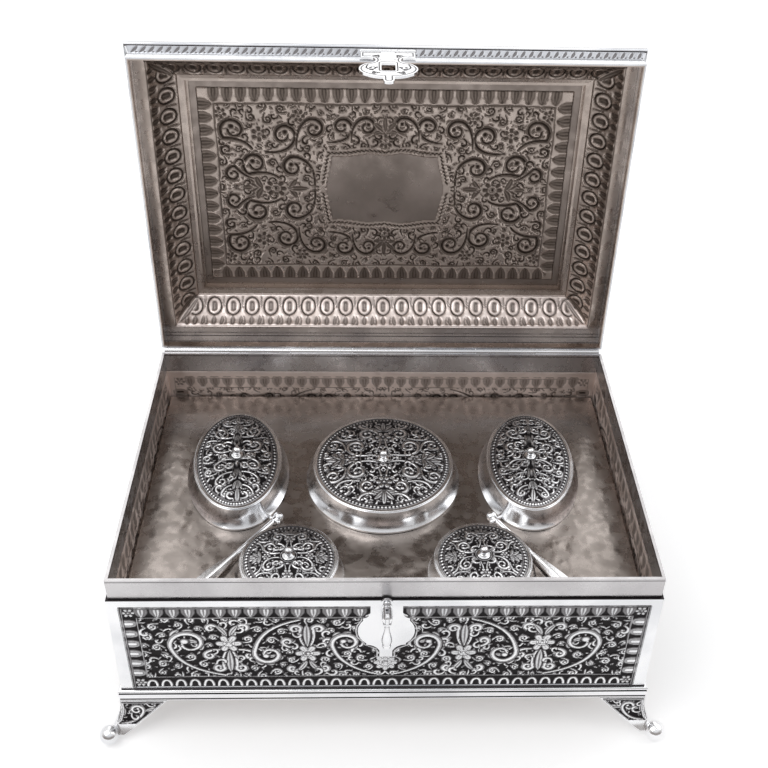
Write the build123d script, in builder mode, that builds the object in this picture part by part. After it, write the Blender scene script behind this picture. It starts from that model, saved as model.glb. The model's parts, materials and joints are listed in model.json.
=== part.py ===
from build123d import *
import math
import os

# Paan box: a chased silver box on four cast feet, with a hinged hollow lid, a hasp that drops
# over a stud with a swinging tongue, and a lift-out tray of five covered pots and two spoons.
# Millimetres. X runs left to right, Y front to back, Z up. The origin is on the ground, below
# the middle of the box. The lid is drawn standing open.

# ---- box body -------------------------------------------------------------------------------
box_width = 280.0  # plain rim band, outside
box_depth = 187.6
foot_height = 26.7  # ground to the underside of the base moulding
moulding_height = 8.6
panel_height = 71.0
band_height = 13.6
band_wall = 1.6
panel_wall = 1.95  # at its top edge
panel_lean_top = 1.15  # how far the panel stands proud of the band, at its top
panel_lean_bottom = 2.3
moulding_proud = 4.1  # base moulding beyond the band
moulding_wall = 1.6
moulding_bead = 1.9  # height of the bead under the panels
moulding_groove = 0.8
moulding_low_bead = 1.5
moulding_inset = 0.9  # depth of the grooves
moulding_flange = 6.5  # width of the flange that carries the panels and the floor
moulding_flange_wall = 1.4
floor_wall = 1.4
solder_seam = 0.02  # gap left at each mitre
mitre_spare = 2 * moulding_proud  # a strip is cut this much too long before its mitres

# chased fields, sunk so that the plain borders stand level with the chasing
field_side_margin = 4.1
field_top_margin = 4.7
field_bottom_margin = 1.0
field_depth = 0.6
field_corner = 1.0

# the frieze in each field: flowers and volutes take turns, outwards from a flower in the middle
frieze_pitch = 20.4
frieze_end = 1.2  # the last volute stands this many pitches from the row's end
frieze_side_border = 8.7  # tongues and frame lines round the row
frieze_top_border = 9.0
frieze_bottom_border = 9.4
frieze_levels = (-0.53, 0.15, -0.20, -0.22, 0.15, 0.16)  # shares of the row's half height, up
frieze_rise = 0.4
rib_width = 1.1
volute_radius = 8.4
volute_end_radius = 10.8
volute_turns = 1.2
volute_tighten = 0.74  # share of the radius that the volute loses on its way in
volute_ease = 0.85
volute_steps = 5  # arcs in the volute
stem_start = 0.84  # the stem starts this many pitches nearer the middle
stem_bow = 0.3
flower_radius = 6.0
flower_petals = 6
middle_flower_petals = 8

# plain lobed shield behind the latch, measured down from the panel's top edge
shield_neck = 8.3
shield_step = 12.0
shield_lobe = 14.8
shield_waist = 10.4
shield_tail = 3.4
shield_drops = {
    "neck": 10.7,
    "step": 14.1,
    "lobe_top": 15.9,
    "lobe": 24.0,
    "lobe_bottom": 33.7,
    "waist": 34.9,
    "tail": 39.9,
    "end": 44.7,
}

# ---- cast feet ------------------------------------------------------------------------------
foot_wing = 25.0  # length of each wing, along the front and along the side
foot_wing_wall = 2.4
foot_spread_x = 11.2  # ball centre beyond the band's corner
foot_spread_y = 10.2
foot_ball = 5.4
foot_flat = 1.2  # radius of the worn flat under the ball

# ---- tray -----------------------------------------------------------------------------------
tray_drop = 34.0  # rim down to the tray's surface
tray_wall = 1.4
tray_gap = 1.0  # all round, inside the rim band
tray_wire = 2.0  # square stiffening wire under the edge
ledge_width = 4.0
ledge_wall = 2.0
ledge_inset = 3.0  # ledge strips stop short of the corners

# ---- pots: half width and half length of the chased ring, place from the middle and from the
# tray's front edge, and turn ------------------------------------------------------------------
pots = {
    "centre": (40.0, 40.0, -0.6, 105.7, 0.0),
    "left_oval": (24.5, 40.5, -86.5, 108.7, 5.0),
    "right_oval": (24.5, 40.5, 86.5, 108.2, -4.0),
    "left_round": (25.2, 25.2, -51.7, 29.8, 0.0),
    "right_round": (25.2, 25.2, 52.2, 30.2, 0.0),
}
skirt_flare = 5.4  # big covers: skirt foot beyond the ring
small_skirt_flare = 4.2
cover_wall = 1.0
skirt_lift = 0.35  # skirt foot above the tray
skirt_lip = 1.1
ring_height = 12.6  # level of the ring's seat above the tray
ring_bead = 0.9
ring_seat = 1.3  # the flat rim that carries the ring reaches this far beyond it
ring_seat_rise = 0.8
dome_height = 3.4
cup_wall = 1.0
cup_depth = 30.0  # below the tray's surface
cup_inset = 1.0  # cup wall inside the chased ring
cup_seat = 0.05  # play between cover and cup
cup_flange = 2.4
cup_flange_wall = 1.0
cup_floor_round = 6.0
cup_hole_gap = 0.3
knob_ball = 2.3
knob_collar = 3.4
knob_height = 6.2

# ---- spoons: finial end, placed as the pots are, then the direction that the blade points -----
spoons = {
    "left": (-60.4, 71.2, 232.8),
    "right": (61.0, 71.4, 306.0),
}
spoon_length = 84.0
spoon_rod = 1.5
spoon_blade = 4.2  # half width at the widest
spoon_blade_wall = 1.2
spoon_blade_start = 26.0
spoon_blade_widest = 62.0
finial_ball = 2.9
finial_bud = 1.4
finial_collar = 2.3
finial_neck = 1.7
finial_length = 4.7  # ball centre to the collar's far face, where the rod starts

# ---- lid ------------------------------------------------------------------------------------
lid_open = 92.0  # degrees, where the lid rests against its hinge
lid_gap = 0.05  # lid edge above the rim when closed
lid_side_over = 0.2  # lid beyond the band at each side
lid_front_over = 0.2
lid_wall = 0.9
wall_height = 15.5  # from the lid's edge to its inner ledge
lid_plain_height = 6.4
lid_strip_height = 6.0  # the ornament strip flares outwards
lid_strip_recess = 0.3
lid_strip_flare = 2.2
cornice_proud = 3.4
cornice_height = 5.6
cornice_back = 0.4  # the cornice's top starts this far outside the wall's face
lid_rest_width = 0.7  # inner strip that seats on the rim
lid_rest_height = 5.0
lid_sheet = 1.2
cove_foot = 5.7  # insets from the lid's outer face
cove_head = 20.0
shoulder_head = 23.2
cove_rise = 17.6
shoulder_rise = 0.8
cove_bulge = 1.5
step_rise = 5.0
step_wall = 1.4
lid_panel_wall = 1.8
lid_field_depth = 0.4
lid_field_margin = 5.2
# plain shield in the middle of the lid: half sizes, and how far its edges bow in and out
lid_shield_x = 36.0
lid_shield_y = 23.6
lid_shield_corner = 32.0  # half width at the corners
lid_shield_notch = 1.2  # dip in the middle of the long edges
lid_shield_bow = 2.4

# ---- hinge ----------------------------------------------------------------------------------
hinge_knuckle = 1.8
hinge_pin_radius = 0.9
hinge_play = 0.05
hinge_gap = 0.3
hinge_knuckles = 7
hinge_length = 276.0
hinge_leaf_wall = 0.8
hinge_leaf_height = 6.0
hinge_pin_head = 0.6

# ---- hasp, stud and tongue ------------------------------------------------------------------
hasp_width = 29.0
hasp_lobe_width = 30.8
hasp_waist = 13.0
hasp_top = 4.0  # above the lid's edge
hasp_bar = 4.0  # the top bar's lower edge, below the lid's edge
hasp_scoop_end = 13.0
hasp_lobe_at = 21.0
hasp_lobe_end = 31.5
hasp_tab_width = 5.6
hasp_tab_end = 39.5
hasp_slot_width = 7.4
hasp_slot_start = 11.9
hasp_slot_end = 23.6
hasp_wall = 1.4
hasp_barrel = 1.4
hasp_barrel_height = 6.0
hasp_pin_radius = 0.7
hasp_middle_half = 5.0
hasp_gap = 0.3
hasp_reach = 2.7  # hinge line in front of the lid's wall, so that the plate clears the panel
hasp_leaf_low = 4.7
hasp_leaf_high = 6.3

stud_drop = 1.8  # stud centre below the panel's top edge
stud_radius = 2.6
stud_collar = 3.2
stud_neck = 1.9
stud_length = 12.2
stud_pivot_back = 2.6  # pivot behind the stud's end
stud_bevel = 0.5
# (reach from the panel, radius) along the turned stud
stud_turning = (
    (-1.0, stud_collar),
    (1.0, stud_collar),
    (1.4, stud_neck),
    (2.2, stud_neck),
    (2.5, stud_radius),
    (3.5, stud_radius),
    (3.8, stud_neck),
    (4.6, stud_neck),
    (4.9, stud_radius),
)
tongue_slot = 2.1  # width between the ears
tongue_side_gap = 0.3
tongue_length = 22.8
tongue_shoulder = 3.3  # the round shank starts here, below the pivot
tongue_collar = 1.2
tongue_radius = 2.3
tongue_waist = 2.1
tongue_swell = 2.7
tongue_swell_at = 4.8  # above the lower end
tongue_pin_radius = 0.6
tongue_play = 0.05

# ---- levels and frames that follow from the sizes -------------------------------------------
panel_bottom = foot_height + moulding_height
panel_top = panel_bottom + panel_height
rim_top = panel_top + band_height
tray_top = rim_top - tray_drop
ledge_top = tray_top - tray_wall - tray_wire

panel_width = box_width + 2 * panel_lean_bottom  # outside, at the bottom edge
panel_depth = box_depth + 2 * panel_lean_bottom
inner_width = box_width + 2 * panel_lean_top - 2 * panel_wall  # inside the panels
inner_depth = box_depth + 2 * panel_lean_top - 2 * panel_wall
moulding_width = box_width + 2 * moulding_proud
moulding_depth = box_depth + 2 * moulding_proud
tray_width = box_width - 2 * band_wall - 2 * tray_gap
tray_depth = box_depth - 2 * band_wall - 2 * tray_gap
tray_front = -tray_depth / 2

hinge_y = box_depth / 2 + hinge_gap + hinge_knuckle
hinge_z = rim_top + lid_gap
lid_width = box_width + 2 * lid_side_over
lid_depth = box_depth + lid_front_over
lid_middle_y = -lid_front_over / 2
cove_top = wall_height + cove_rise
shoulder_top = cove_top + shoulder_rise
lid_top = shoulder_top + step_rise

# lid_frame carries the closed lid's own axes: its origin is on the hinge line and its Z is the
# height above the lid's edge
lid_frame = Plane(origin=(0, hinge_y, hinge_z)).rotated((-lid_open, 0, 0))
lid_middle = -hinge_y + lid_middle_y
lid_front = lid_middle - lid_depth / 2

SIDES = {"front": 0, "right": 90, "back": 180, "left": 270}

os.makedirs("parts", exist_ok=True)


def at(frame, plane):
    """The plane, given in a frame's own axes, in the world."""
    return Plane(frame.location * plane.location)


def side_home(turn, width, depth, middle_y=0.0):
    """A plane at the foot of one outer face: x runs along it, y points inward, z up."""
    reach = depth / 2 if turn % 180 == 0 else width / 2
    return Location((0, middle_y, 0), (0, 0, turn)) * Location((0, -reach, 0))


def mitred_side(frame, draw_section, width, depth, turn, middle_y=0.0):
    """Adds one side of a mitred frame. The section is drawn as (inset, height)."""
    run = width if turn % 180 == 0 else depth
    home = frame.location * side_home(turn, width, depth, middle_y)
    across = Plane(home * Plane(origin=(0, 0, 0), x_dir=(0, 1, 0), z_dir=(1, 0, 0)).location)
    with BuildSketch(across, mode=Mode.PRIVATE) as section:
        with BuildLine():
            draw_section()
        make_face()
    strip = extrude(section.sketch, amount=run / 2 + mitre_spare, both=True, mode=Mode.PRIVATE)
    for end in (1, -1):
        corner = Plane(origin=(end * (run / 2 - solder_seam), 0, 0), x_dir=(0, 0, 1), z_dir=(end, 1, 0))
        mitre = Plane(home * corner.location)
        strip = split(strip, bisect_by=mitre, keep=Keep.BOTTOM, mode=Mode.PRIVATE)
    add(strip)


def box_between(low, high, frame=Plane.XY, mode=Mode.ADD):
    """Adds a block between two corners given in a frame's own axes."""
    size = [h - l for l, h in zip(low, high)]
    middle = [(h + l) / 2 for l, h in zip(low, high)]
    block = Box(*size, mode=Mode.PRIVATE).moved(frame.location * Location(middle))
    add(block, mode=mode)


# ---- rim band -------------------------------------------------------------------------------
def band_section():
    Polyline((0, panel_top), (band_wall, panel_top), (band_wall, rim_top), (0, rim_top), close=True)


with BuildPart() as rim_band:
    for turn in SIDES.values():
        mitred_side(Plane.XY, band_section, box_width, box_depth, turn)
rim_band.part.label = "rim_band"
export_step(rim_band.part, "parts/rim_band.step")


# ---- chased side panels ---------------------------------------------------------------------
def panel_section():
    inner = panel_lean_bottom - panel_lean_top + panel_wall
    Polyline(
        (0, panel_bottom),
        (inner, panel_bottom),
        (inner, panel_top),
        (panel_lean_bottom - panel_lean_top, panel_top),
        close=True,
    )


def panel_face(turn):
    """The leaning outer face of a panel: origin at the middle of its top edge, y up it."""
    lean = panel_lean_bottom - panel_lean_top
    home = side_home(turn, panel_width, panel_depth)
    face = Plane(origin=(0, lean, panel_top), x_dir=(1, 0, 0), z_dir=(0, -panel_height, lean))
    return Plane(home * face.location)


def shield_edge():
    """Right half of the plain shield, drawn down from the top of the field."""
    drop = {name: -value for name, value in shield_drops.items()}
    Line((0, -field_top_margin), (shield_neck, -field_top_margin))
    Line((shield_neck, -field_top_margin), (shield_neck, drop["neck"]))
    corner = ((shield_neck * 2 + shield_step) / 3, (drop["neck"] + 2 * drop["step"]) / 3)
    ThreePointArc((shield_neck, drop["neck"]), corner, (shield_step, drop["step"]))
    Line((shield_step, drop["step"]), (shield_step, drop["lobe_top"]))
    ThreePointArc(
        (shield_step, drop["lobe_top"]), (shield_lobe, drop["lobe"]), (shield_waist, drop["lobe_bottom"])
    )
    Line((shield_waist, drop["lobe_bottom"]), (shield_waist, drop["waist"]))
    corner = ((shield_waist + 2 * shield_tail) / 3, (2 * drop["waist"] + drop["tail"]) / 3)
    ThreePointArc((shield_waist, drop["waist"]), corner, (shield_tail, drop["tail"]))
    Line((shield_tail, drop["tail"]), (shield_tail, drop["end"]))
    Line((shield_tail, drop["end"]), (0, drop["end"]))
    Line((0, drop["end"]), (0, -field_top_margin))


def volute_point(centre, radius, first, hand, share):
    reach = radius * (1 - volute_tighten * share**volute_ease)
    angle = first + hand * 2 * math.pi * volute_turns * share
    return centre[0] + reach * math.cos(angle), centre[1] + reach * math.sin(angle)


def volute(start, centre, radius, hand):
    """A rib that bows out from its start and runs into a volute; hand 1 turns anticlockwise."""
    towards = math.atan2(centre[1] - start[1], centre[0] - start[0])
    first = towards - hand * math.pi / 2
    join = volute_point(centre, radius, first, hand, 0)
    bow = math.dist(start, join) * stem_bow
    middle = (
        (start[0] + join[0]) / 2 + bow * math.cos(first),
        (start[1] + join[1]) / 2 + bow * math.sin(first),
    )
    with BuildLine() as rib:
        Bezier(start, middle, join)
        for step in range(volute_steps):
            shares = [(step + part) / volute_steps for part in (0, 0.5, 1)]
            ThreePointArc(*[volute_point(centre, radius, first, hand, share) for share in shares])
    trace(rib.line, line_width=rib_width)


def flower(centre, petals):
    with Locations(centre):
        Circle(flower_radius * 0.38)
        with PolarLocations(flower_radius * 0.66, petals):
            Circle(flower_radius * 0.3)


def frieze(run):
    """The raised forms of one field, from the middle flower outwards, on both sides."""
    half_run = run / 2 - field_side_margin - frieze_side_border
    row_top = -field_top_margin - frieze_top_border
    row_bottom = field_bottom_margin + frieze_bottom_border - panel_height
    middle, half_height = (row_top + row_bottom) / 2, (row_top - row_bottom) / 2
    count = 2 * round((half_run / frieze_pitch - frieze_end + 1) / 2)
    pitch = half_run / (count - 1 + frieze_end)
    flower((0, middle + half_height * frieze_levels[0]), middle_flower_petals)
    for side in (-1, 1):
        for n in range(1, count):
            last = n == count - 1
            level = middle + half_height * frieze_levels[-1 if last else n]
            if n % 2 == 0:
                flower((side * n * pitch, level), flower_petals)
                continue
            up = 1 if n % 4 == 1 else -1
            start = side * (n - stem_start) * pitch, middle - up * (half_height - rib_width)
            radius = volute_end_radius if last else volute_radius
            volute(start, (side * n * pitch, level), radius, side * up)


field_height = panel_height - field_top_margin - field_bottom_margin
for side, turn in SIDES.items():
    run = box_width if turn % 180 == 0 else box_depth
    with BuildPart() as panel:
        mitred_side(Plane.XY, panel_section, panel_width, panel_depth, turn)
        with BuildSketch(panel_face(turn)) as field:
            with Locations((0, -field_top_margin - field_height / 2)):
                RectangleRounded(run - 2 * field_side_margin, field_height, field_corner)
            if side == "front":
                with BuildSketch(mode=Mode.SUBTRACT):
                    with BuildLine():
                        shield_edge()
                    make_face()
                    mirror(about=Plane.YZ)
        extrude(amount=-field_depth, mode=Mode.SUBTRACT)
        with BuildSketch(panel_face(turn).offset(-field_depth - frieze_rise)):
            frieze(run)
        extrude(amount=2 * frieze_rise)
    panel.part.label = f"{side}_panel"
    export_step(panel.part, f"parts/{side}_panel.step")


# ---- base moulding and floor ----------------------------------------------------------------
def moulding_section():
    """Bead, flat band between two grooves, and a lower bead, on a thin wall with a flange inside."""
    low, high = foot_height, foot_height + moulding_height
    deep, wall = moulding_inset, moulding_inset + moulding_wall
    flat = moulding_inset * 0.3
    band_top = high - moulding_bead - moulding_groove
    band_foot = low + moulding_low_bead + moulding_groove
    Line((moulding_flange, high), (deep, high))
    ThreePointArc((deep, high), (0, high - moulding_bead / 2), (deep, high - moulding_bead))
    Line((deep, high - moulding_bead), (deep, band_top))
    Line((deep, band_top), (flat, band_top))
    Line((flat, band_top), (flat, band_foot))
    Line((flat, band_foot), (deep, band_foot))
    Line((deep, band_foot), (deep, low + moulding_low_bead))
    ThreePointArc((deep, low + moulding_low_bead), (flat, low + moulding_low_bead / 2), (deep, low))
    Line((deep, low), (wall, low))
    Line((wall, low), (wall, high - moulding_flange_wall))
    Line((wall, high - moulding_flange_wall), (moulding_flange, high - moulding_flange_wall))
    Line((moulding_flange, high - moulding_flange_wall), (moulding_flange, high))


with BuildPart() as base_moulding:
    for turn in SIDES.values():
        mitred_side(Plane.XY, moulding_section, moulding_width, moulding_depth, turn)
base_moulding.part.label = "base_moulding"
export_step(base_moulding.part, "parts/base_moulding.step")

with BuildPart() as floor_plate:
    with BuildSketch(Plane.XY.offset(panel_bottom)):
        Rectangle(inner_width, inner_depth)
    extrude(amount=floor_wall)
floor_plate.part.label = "floor_plate"
export_step(floor_plate.part, "parts/floor_plate.step")

# ---- ledges that carry the tray -------------------------------------------------------------
with BuildPart() as tray_ledges:
    with BuildSketch(Plane.XY.offset(ledge_top - ledge_wall)):
        with Locations((0, inner_depth / 2 - ledge_width / 2), (0, -inner_depth / 2 + ledge_width / 2)):
            Rectangle(inner_width - 2 * (ledge_width + ledge_inset), ledge_width)
        with Locations((inner_width / 2 - ledge_width / 2, 0), (-inner_width / 2 + ledge_width / 2, 0)):
            Rectangle(ledge_width, inner_depth - 2 * (ledge_width + ledge_inset))
    extrude(amount=ledge_wall)
tray_ledges.part.label = "tray_ledges"
export_step(tray_ledges.part, "parts/tray_ledges.step")

# ---- cast feet: two wings that run together into a knee, and out to a ball ------------------
# each level: share of the height, share of the wing's length, share of the outward spread
foot_levels = ((1.0, 1.0, 0.0), (0.8, 0.83, 0.03), (0.54, 0.61, 0.19), (0.3, 0.41, 0.58), (0.16, 0.28, 0.9))
ball_z = math.sqrt(foot_ball**2 - foot_flat**2)
wing_x = moulding_width / 2 - moulding_wall * 0.25
wing_y = moulding_depth / 2 - moulding_wall * 0.25
ball_x = box_width / 2 + foot_spread_x
ball_y = box_depth / 2 + foot_spread_y

for name, sx, sy in (
    ("foot_front_left", -1, -1),
    ("foot_front_right", 1, -1),
    ("foot_back_left", -1, 1),
    ("foot_back_right", 1, 1),
):
    with BuildPart() as foot:
        for level, length, spread in foot_levels:
            tip = wing_x + (ball_x - wing_x) * spread, wing_y + (ball_y - wing_y) * spread
            wing = foot_wing * length
            wall = foot_wing_wall if level > 0.5 else min(foot_wing_wall, wing * 0.45)
            with BuildSketch(Plane.XY.offset(foot_height * level)):
                with BuildLine():
                    Polyline(
                        (sx * tip[0], sy * tip[1]),
                        (sx * (tip[0] - wing), sy * tip[1]),
                        (sx * (tip[0] - wing), sy * (tip[1] - wall)),
                        (sx * (tip[0] - wall), sy * (tip[1] - wall)),
                        (sx * (tip[0] - wall), sy * (tip[1] - wing)),
                        (sx * tip[0], sy * (tip[1] - wing)),
                        close=True,
                    )
                make_face()
        loft()
        with Locations((sx * ball_x, sy * ball_y, ball_z)):
            Sphere(foot_ball)
        split(bisect_by=Plane.XY, keep=Keep.TOP)
    foot.part.label = name
    export_step(foot.part, f"parts/{name}.step")


# ---- hinge ----------------------------------------------------------------------------------
def knuckle_row(frame, numbers, leaf_low, leaf_high, leaf_y):
    """Adds the hinge tubes with these numbers, each with its leaf, along a frame's X axis."""
    pitch = hinge_length / hinge_knuckles
    for number in numbers:
        low = -hinge_length / 2 + number * pitch + (hinge_gap / 2 if number else 0)
        last = number == hinge_knuckles - 1
        high = -hinge_length / 2 + (number + 1) * pitch - (0 if last else hinge_gap / 2)
        tube_plane = at(frame, Plane(origin=(low, 0, 0), x_dir=(0, 1, 0), z_dir=(1, 0, 0)))
        box_between((low, leaf_y, leaf_low), (high, leaf_y + hinge_leaf_wall, leaf_high), frame)
        add(extrude(disc(tube_plane, hinge_knuckle), amount=high - low, mode=Mode.PRIVATE))
        bore = disc(tube_plane, hinge_pin_radius + hinge_play)
        add(extrude(bore, amount=high - low, mode=Mode.PRIVATE), mode=Mode.SUBTRACT)


def disc(plane, radius):
    with BuildSketch(plane, mode=Mode.PRIVATE) as face:
        Circle(radius)
    return face.sketch


hinge_frame = Plane(origin=(0, hinge_y, hinge_z))
leaf_y = box_depth / 2 - hinge_y
body_numbers = range(0, hinge_knuckles, 2)
lid_numbers = range(1, hinge_knuckles, 2)

with BuildPart() as body_hinge_knuckles:
    knuckle_row(hinge_frame, body_numbers, -hinge_leaf_height, -lid_gap, leaf_y)
body_hinge_knuckles.part.label = "body_hinge_knuckles"
export_step(body_hinge_knuckles.part, "parts/body_hinge_knuckles.step")

with BuildPart() as lid_hinge_knuckles:
    knuckle_row(lid_frame, lid_numbers, 0, hinge_leaf_height, leaf_y)
lid_hinge_knuckles.part.label = "lid_hinge_knuckles"
export_step(lid_hinge_knuckles.part, "parts/lid_hinge_knuckles.step")

with BuildPart() as hinge_pin:
    with BuildSketch(Plane.YZ.offset(-hinge_length / 2)):
        with Locations((hinge_y, hinge_z)):
            Circle(hinge_pin_radius)
    extrude(amount=hinge_length)
    for end in (-1, 1):
        with BuildSketch(Plane.YZ.offset(end * hinge_length / 2)):
            with Locations((hinge_y, hinge_z)):
                Circle(hinge_knuckle * 0.9)
        extrude(amount=end * hinge_pin_head)
hinge_pin.part.label = "hinge_pin"
export_step(hinge_pin.part, "parts/hinge_pin.step")


# ---- lid ------------------------------------------------------------------------------------
def lid_wall_section():
    """Plain edge, an ornament strip that flares outwards, and a cornice that stands proud."""
    strip_low, strip_high = lid_plain_height, lid_plain_height + lid_strip_height
    cornice_top = strip_high + cornice_height
    Line((0, 0), (lid_wall, 0))
    Line((lid_wall, 0), (lid_wall, wall_height))
    Line((lid_wall, wall_height), (-cornice_back, cornice_top))
    Line((-cornice_back, cornice_top), (-lid_strip_flare, cornice_top))
    ThreePointArc(
        (-lid_strip_flare, cornice_top),
        (-cornice_proud, strip_high + cornice_height / 2),
        (-lid_strip_flare, strip_high),
    )
    Line((-lid_strip_flare, strip_high), (lid_strip_recess, strip_low))
    Line((lid_strip_recess, strip_low), (0, strip_low))
    Line((0, strip_low), (0, 0))


def lid_rest_section():
    high = lid_rest_height
    inner = lid_wall + lid_rest_width
    Polyline(
        (lid_wall, 0), (inner, 0), (inner, high - lid_rest_width), (lid_wall, high),
        close=True,
    )


def lid_cove_section():
    """Level ledge, then the cove's swelling curve, then the shallow shoulder."""
    ledge = wall_height
    middle = (cove_foot + cove_head) / 2 - cove_bulge, (ledge + cove_top) / 2 + cove_bulge
    under = lid_sheet * 0.8
    Line((lid_wall, ledge), (cove_foot, ledge))
    ThreePointArc((cove_foot, ledge), middle, (cove_head, cove_top))
    Line((cove_head, cove_top), (shoulder_head, shoulder_top))
    Line((shoulder_head, shoulder_top), (shoulder_head, shoulder_top - lid_sheet))
    Line((shoulder_head, shoulder_top - lid_sheet), (cove_head + under, cove_top - lid_sheet))
    ThreePointArc(
        (cove_head + under, cove_top - lid_sheet),
        (middle[0] + under, middle[1] - under),
        (cove_foot + under, ledge - lid_sheet),
    )
    Line((cove_foot + under, ledge - lid_sheet), (lid_wall, ledge - lid_sheet))
    Line((lid_wall, ledge - lid_sheet), (lid_wall, ledge))


def lid_step_section():
    low = shoulder_top - lid_sheet
    inner = shoulder_head + step_wall
    flange = inner + step_wall
    Polyline(
        (shoulder_head, low),
        (inner, low),
        (inner, lid_top - lid_panel_wall - lid_sheet),
        (flange, lid_top - lid_panel_wall - lid_sheet),
        (flange, lid_top - lid_panel_wall),
        (inner, lid_top - lid_panel_wall),
        (inner, lid_top),
        (shoulder_head, lid_top),
        close=True,
    )


for label, draw_section in (
    ("lid_wall", lid_wall_section),
    ("lid_rest_strip", lid_rest_section),
    ("lid_cove", lid_cove_section),
    ("lid_step", lid_step_section),
):
    with BuildPart() as lid_ring:
        for turn in SIDES.values():
            mitred_side(lid_frame, draw_section, lid_width, lid_depth, turn, lid_middle)
    lid_ring.part.label = label
    export_step(lid_ring.part, f"parts/{label}.step")


def lid_shield_edge():
    """A quarter of the plain shield: two lobes on the long edges, and sides that bow out."""
    corner_y = lid_shield_y - lid_shield_bow
    Spline(
        (0, lid_shield_y - lid_shield_notch),
        (lid_shield_corner * 0.28, lid_shield_y),
        (lid_shield_corner * 0.66, corner_y + lid_shield_bow * 0.2),
        (lid_shield_corner, corner_y),
    )
    Spline(
        (lid_shield_corner, corner_y),
        ((lid_shield_corner + lid_shield_x) / 2, lid_shield_y * 0.46),
        (lid_shield_x, 0),
        tangents=((0, -1), (0, -1)),
    )
    Line((lid_shield_x, 0), (0, 0))
    Line((0, 0), (0, lid_shield_y - lid_shield_notch))


panel_inset = shoulder_head + step_wall
lid_panel_x = lid_width / 2 - panel_inset
lid_panel_y = lid_depth / 2 - panel_inset

with BuildPart() as lid_top_panel:
    with BuildSketch(at(lid_frame, Plane(origin=(0, lid_middle, lid_top)))):
        Rectangle(2 * lid_panel_x, 2 * lid_panel_y)
    extrude(amount=-lid_panel_wall)
    for height, cut in ((lid_top, -lid_field_depth), (lid_top - lid_panel_wall, lid_field_depth)):
        with BuildSketch(at(lid_frame, Plane(origin=(0, lid_middle, height)))):
            RectangleRounded(
                2 * (lid_panel_x - lid_field_margin), 2 * (lid_panel_y - lid_field_margin), field_corner
            )
            with BuildSketch(mode=Mode.SUBTRACT):
                with BuildLine():
                    lid_shield_edge()
                make_face()
                mirror(about=Plane.YZ)
                mirror(about=Plane.XZ)
        extrude(amount=cut, mode=Mode.SUBTRACT)
lid_top_panel.part.label = "lid_top_panel"
export_step(lid_top_panel.part, "parts/lid_top_panel.step")

# ---- hasp -----------------------------------------------------------------------------------
hasp_y = lid_front - hasp_reach  # the plate and its hinge share this plane


def hasp_tube(low, high, radius, hole):
    """Adds a length of the hasp's hinge tube, or a pin where the hole is 0."""
    plane = at(lid_frame, Plane(origin=(low, hasp_y, hasp_barrel_height), x_dir=(0, 1, 0), z_dir=(1, 0, 0)))
    add(extrude(disc(plane, radius), amount=high - low, mode=Mode.PRIVATE))
    if hole:
        add(extrude(disc(plane, hole), amount=high - low, mode=Mode.PRIVATE), mode=Mode.SUBTRACT)


hasp_bore = hasp_pin_radius + hinge_play
with BuildPart() as hasp_lid_knuckles:
    for end in (-1, 1):
        low, high = sorted((end * (hasp_middle_half + hasp_gap), end * hasp_width / 2))
        lug = hasp_y + hasp_bore + hinge_play
        box_between((low, lug, hasp_leaf_low), (high, lid_front, hasp_leaf_high), lid_frame)
        hasp_tube(low, high, hasp_barrel, hasp_bore)
hasp_lid_knuckles.part.label = "hasp_lid_knuckles"
export_step(hasp_lid_knuckles.part, "parts/hasp_lid_knuckles.step")

with BuildPart() as hasp_pin:
    hasp_tube(-hasp_width / 2, hasp_width / 2, hasp_pin_radius, 0)
    hasp_tube(-hasp_width / 2 - hinge_pin_head, -hasp_width / 2, hasp_barrel * 0.85, 0)
    hasp_tube(hasp_width / 2, hasp_width / 2 + hinge_pin_head, hasp_barrel * 0.85, 0)
hasp_pin.part.label = "hasp_pin"
export_step(hasp_pin.part, "parts/hasp_pin.step")

plate_plane = at(
    lid_frame, Plane(origin=(0, hasp_y - hasp_wall / 2, 0), x_dir=(1, 0, 0), z_dir=(0, -1, 0))
)
corner = hasp_width / 2
horn = hasp_lobe_width * 0.36  # half width where the scoops run into the lobes
heel = hasp_lobe_width * 0.2
tab = hasp_tab_width / 2
lobe_foot = -hasp_lobe_end + tab
tab_start = -hasp_lobe_end - tab / 6
tab_arc = -hasp_tab_end + tab
slant = tab * math.sqrt(0.5)
with BuildPart() as hasp_plate:
    with BuildSketch(plate_plane):
        with BuildLine():
            Line((0, hasp_top), (corner, hasp_top))
            Line((corner, hasp_top), (corner, -hasp_bar))
            scoop = hasp_waist / 2, -(hasp_bar + hasp_scoop_end) / 2
            ThreePointArc((corner, -hasp_bar), scoop, (horn, -hasp_scoop_end))
            ThreePointArc((horn, -hasp_scoop_end), (hasp_lobe_width / 2, -hasp_lobe_at), (horn, lobe_foot))
            ThreePointArc((horn, lobe_foot), (heel, -hasp_lobe_end), (tab, tab_start))
            Line((tab, tab_start), (tab, tab_arc))
            ThreePointArc((tab, tab_arc), (slant, tab_arc - slant), (0, -hasp_tab_end))
            Line((0, -hasp_tab_end), (0, hasp_top))
        make_face()
        mirror(about=Plane.YZ)
        with Locations((0, -(hasp_slot_start + hasp_slot_end) / 2)):
            RectangleRounded(
                hasp_slot_width, hasp_slot_end - hasp_slot_start, hasp_slot_width / 8, mode=Mode.SUBTRACT
            )
    extrude(amount=-hasp_wall)
    box_between(
        (-hasp_middle_half, hasp_y - hasp_wall / 2, hasp_top - hasp_wall),
        (hasp_middle_half, hasp_y + hasp_wall / 2, hasp_barrel_height),
        lid_frame,
    )
    hasp_tube(-hasp_middle_half, hasp_middle_half, hasp_barrel, hasp_bore)
hasp_plate.part.label = "hasp_plate"
export_step(hasp_plate.part, "parts/hasp_plate.step")

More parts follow.
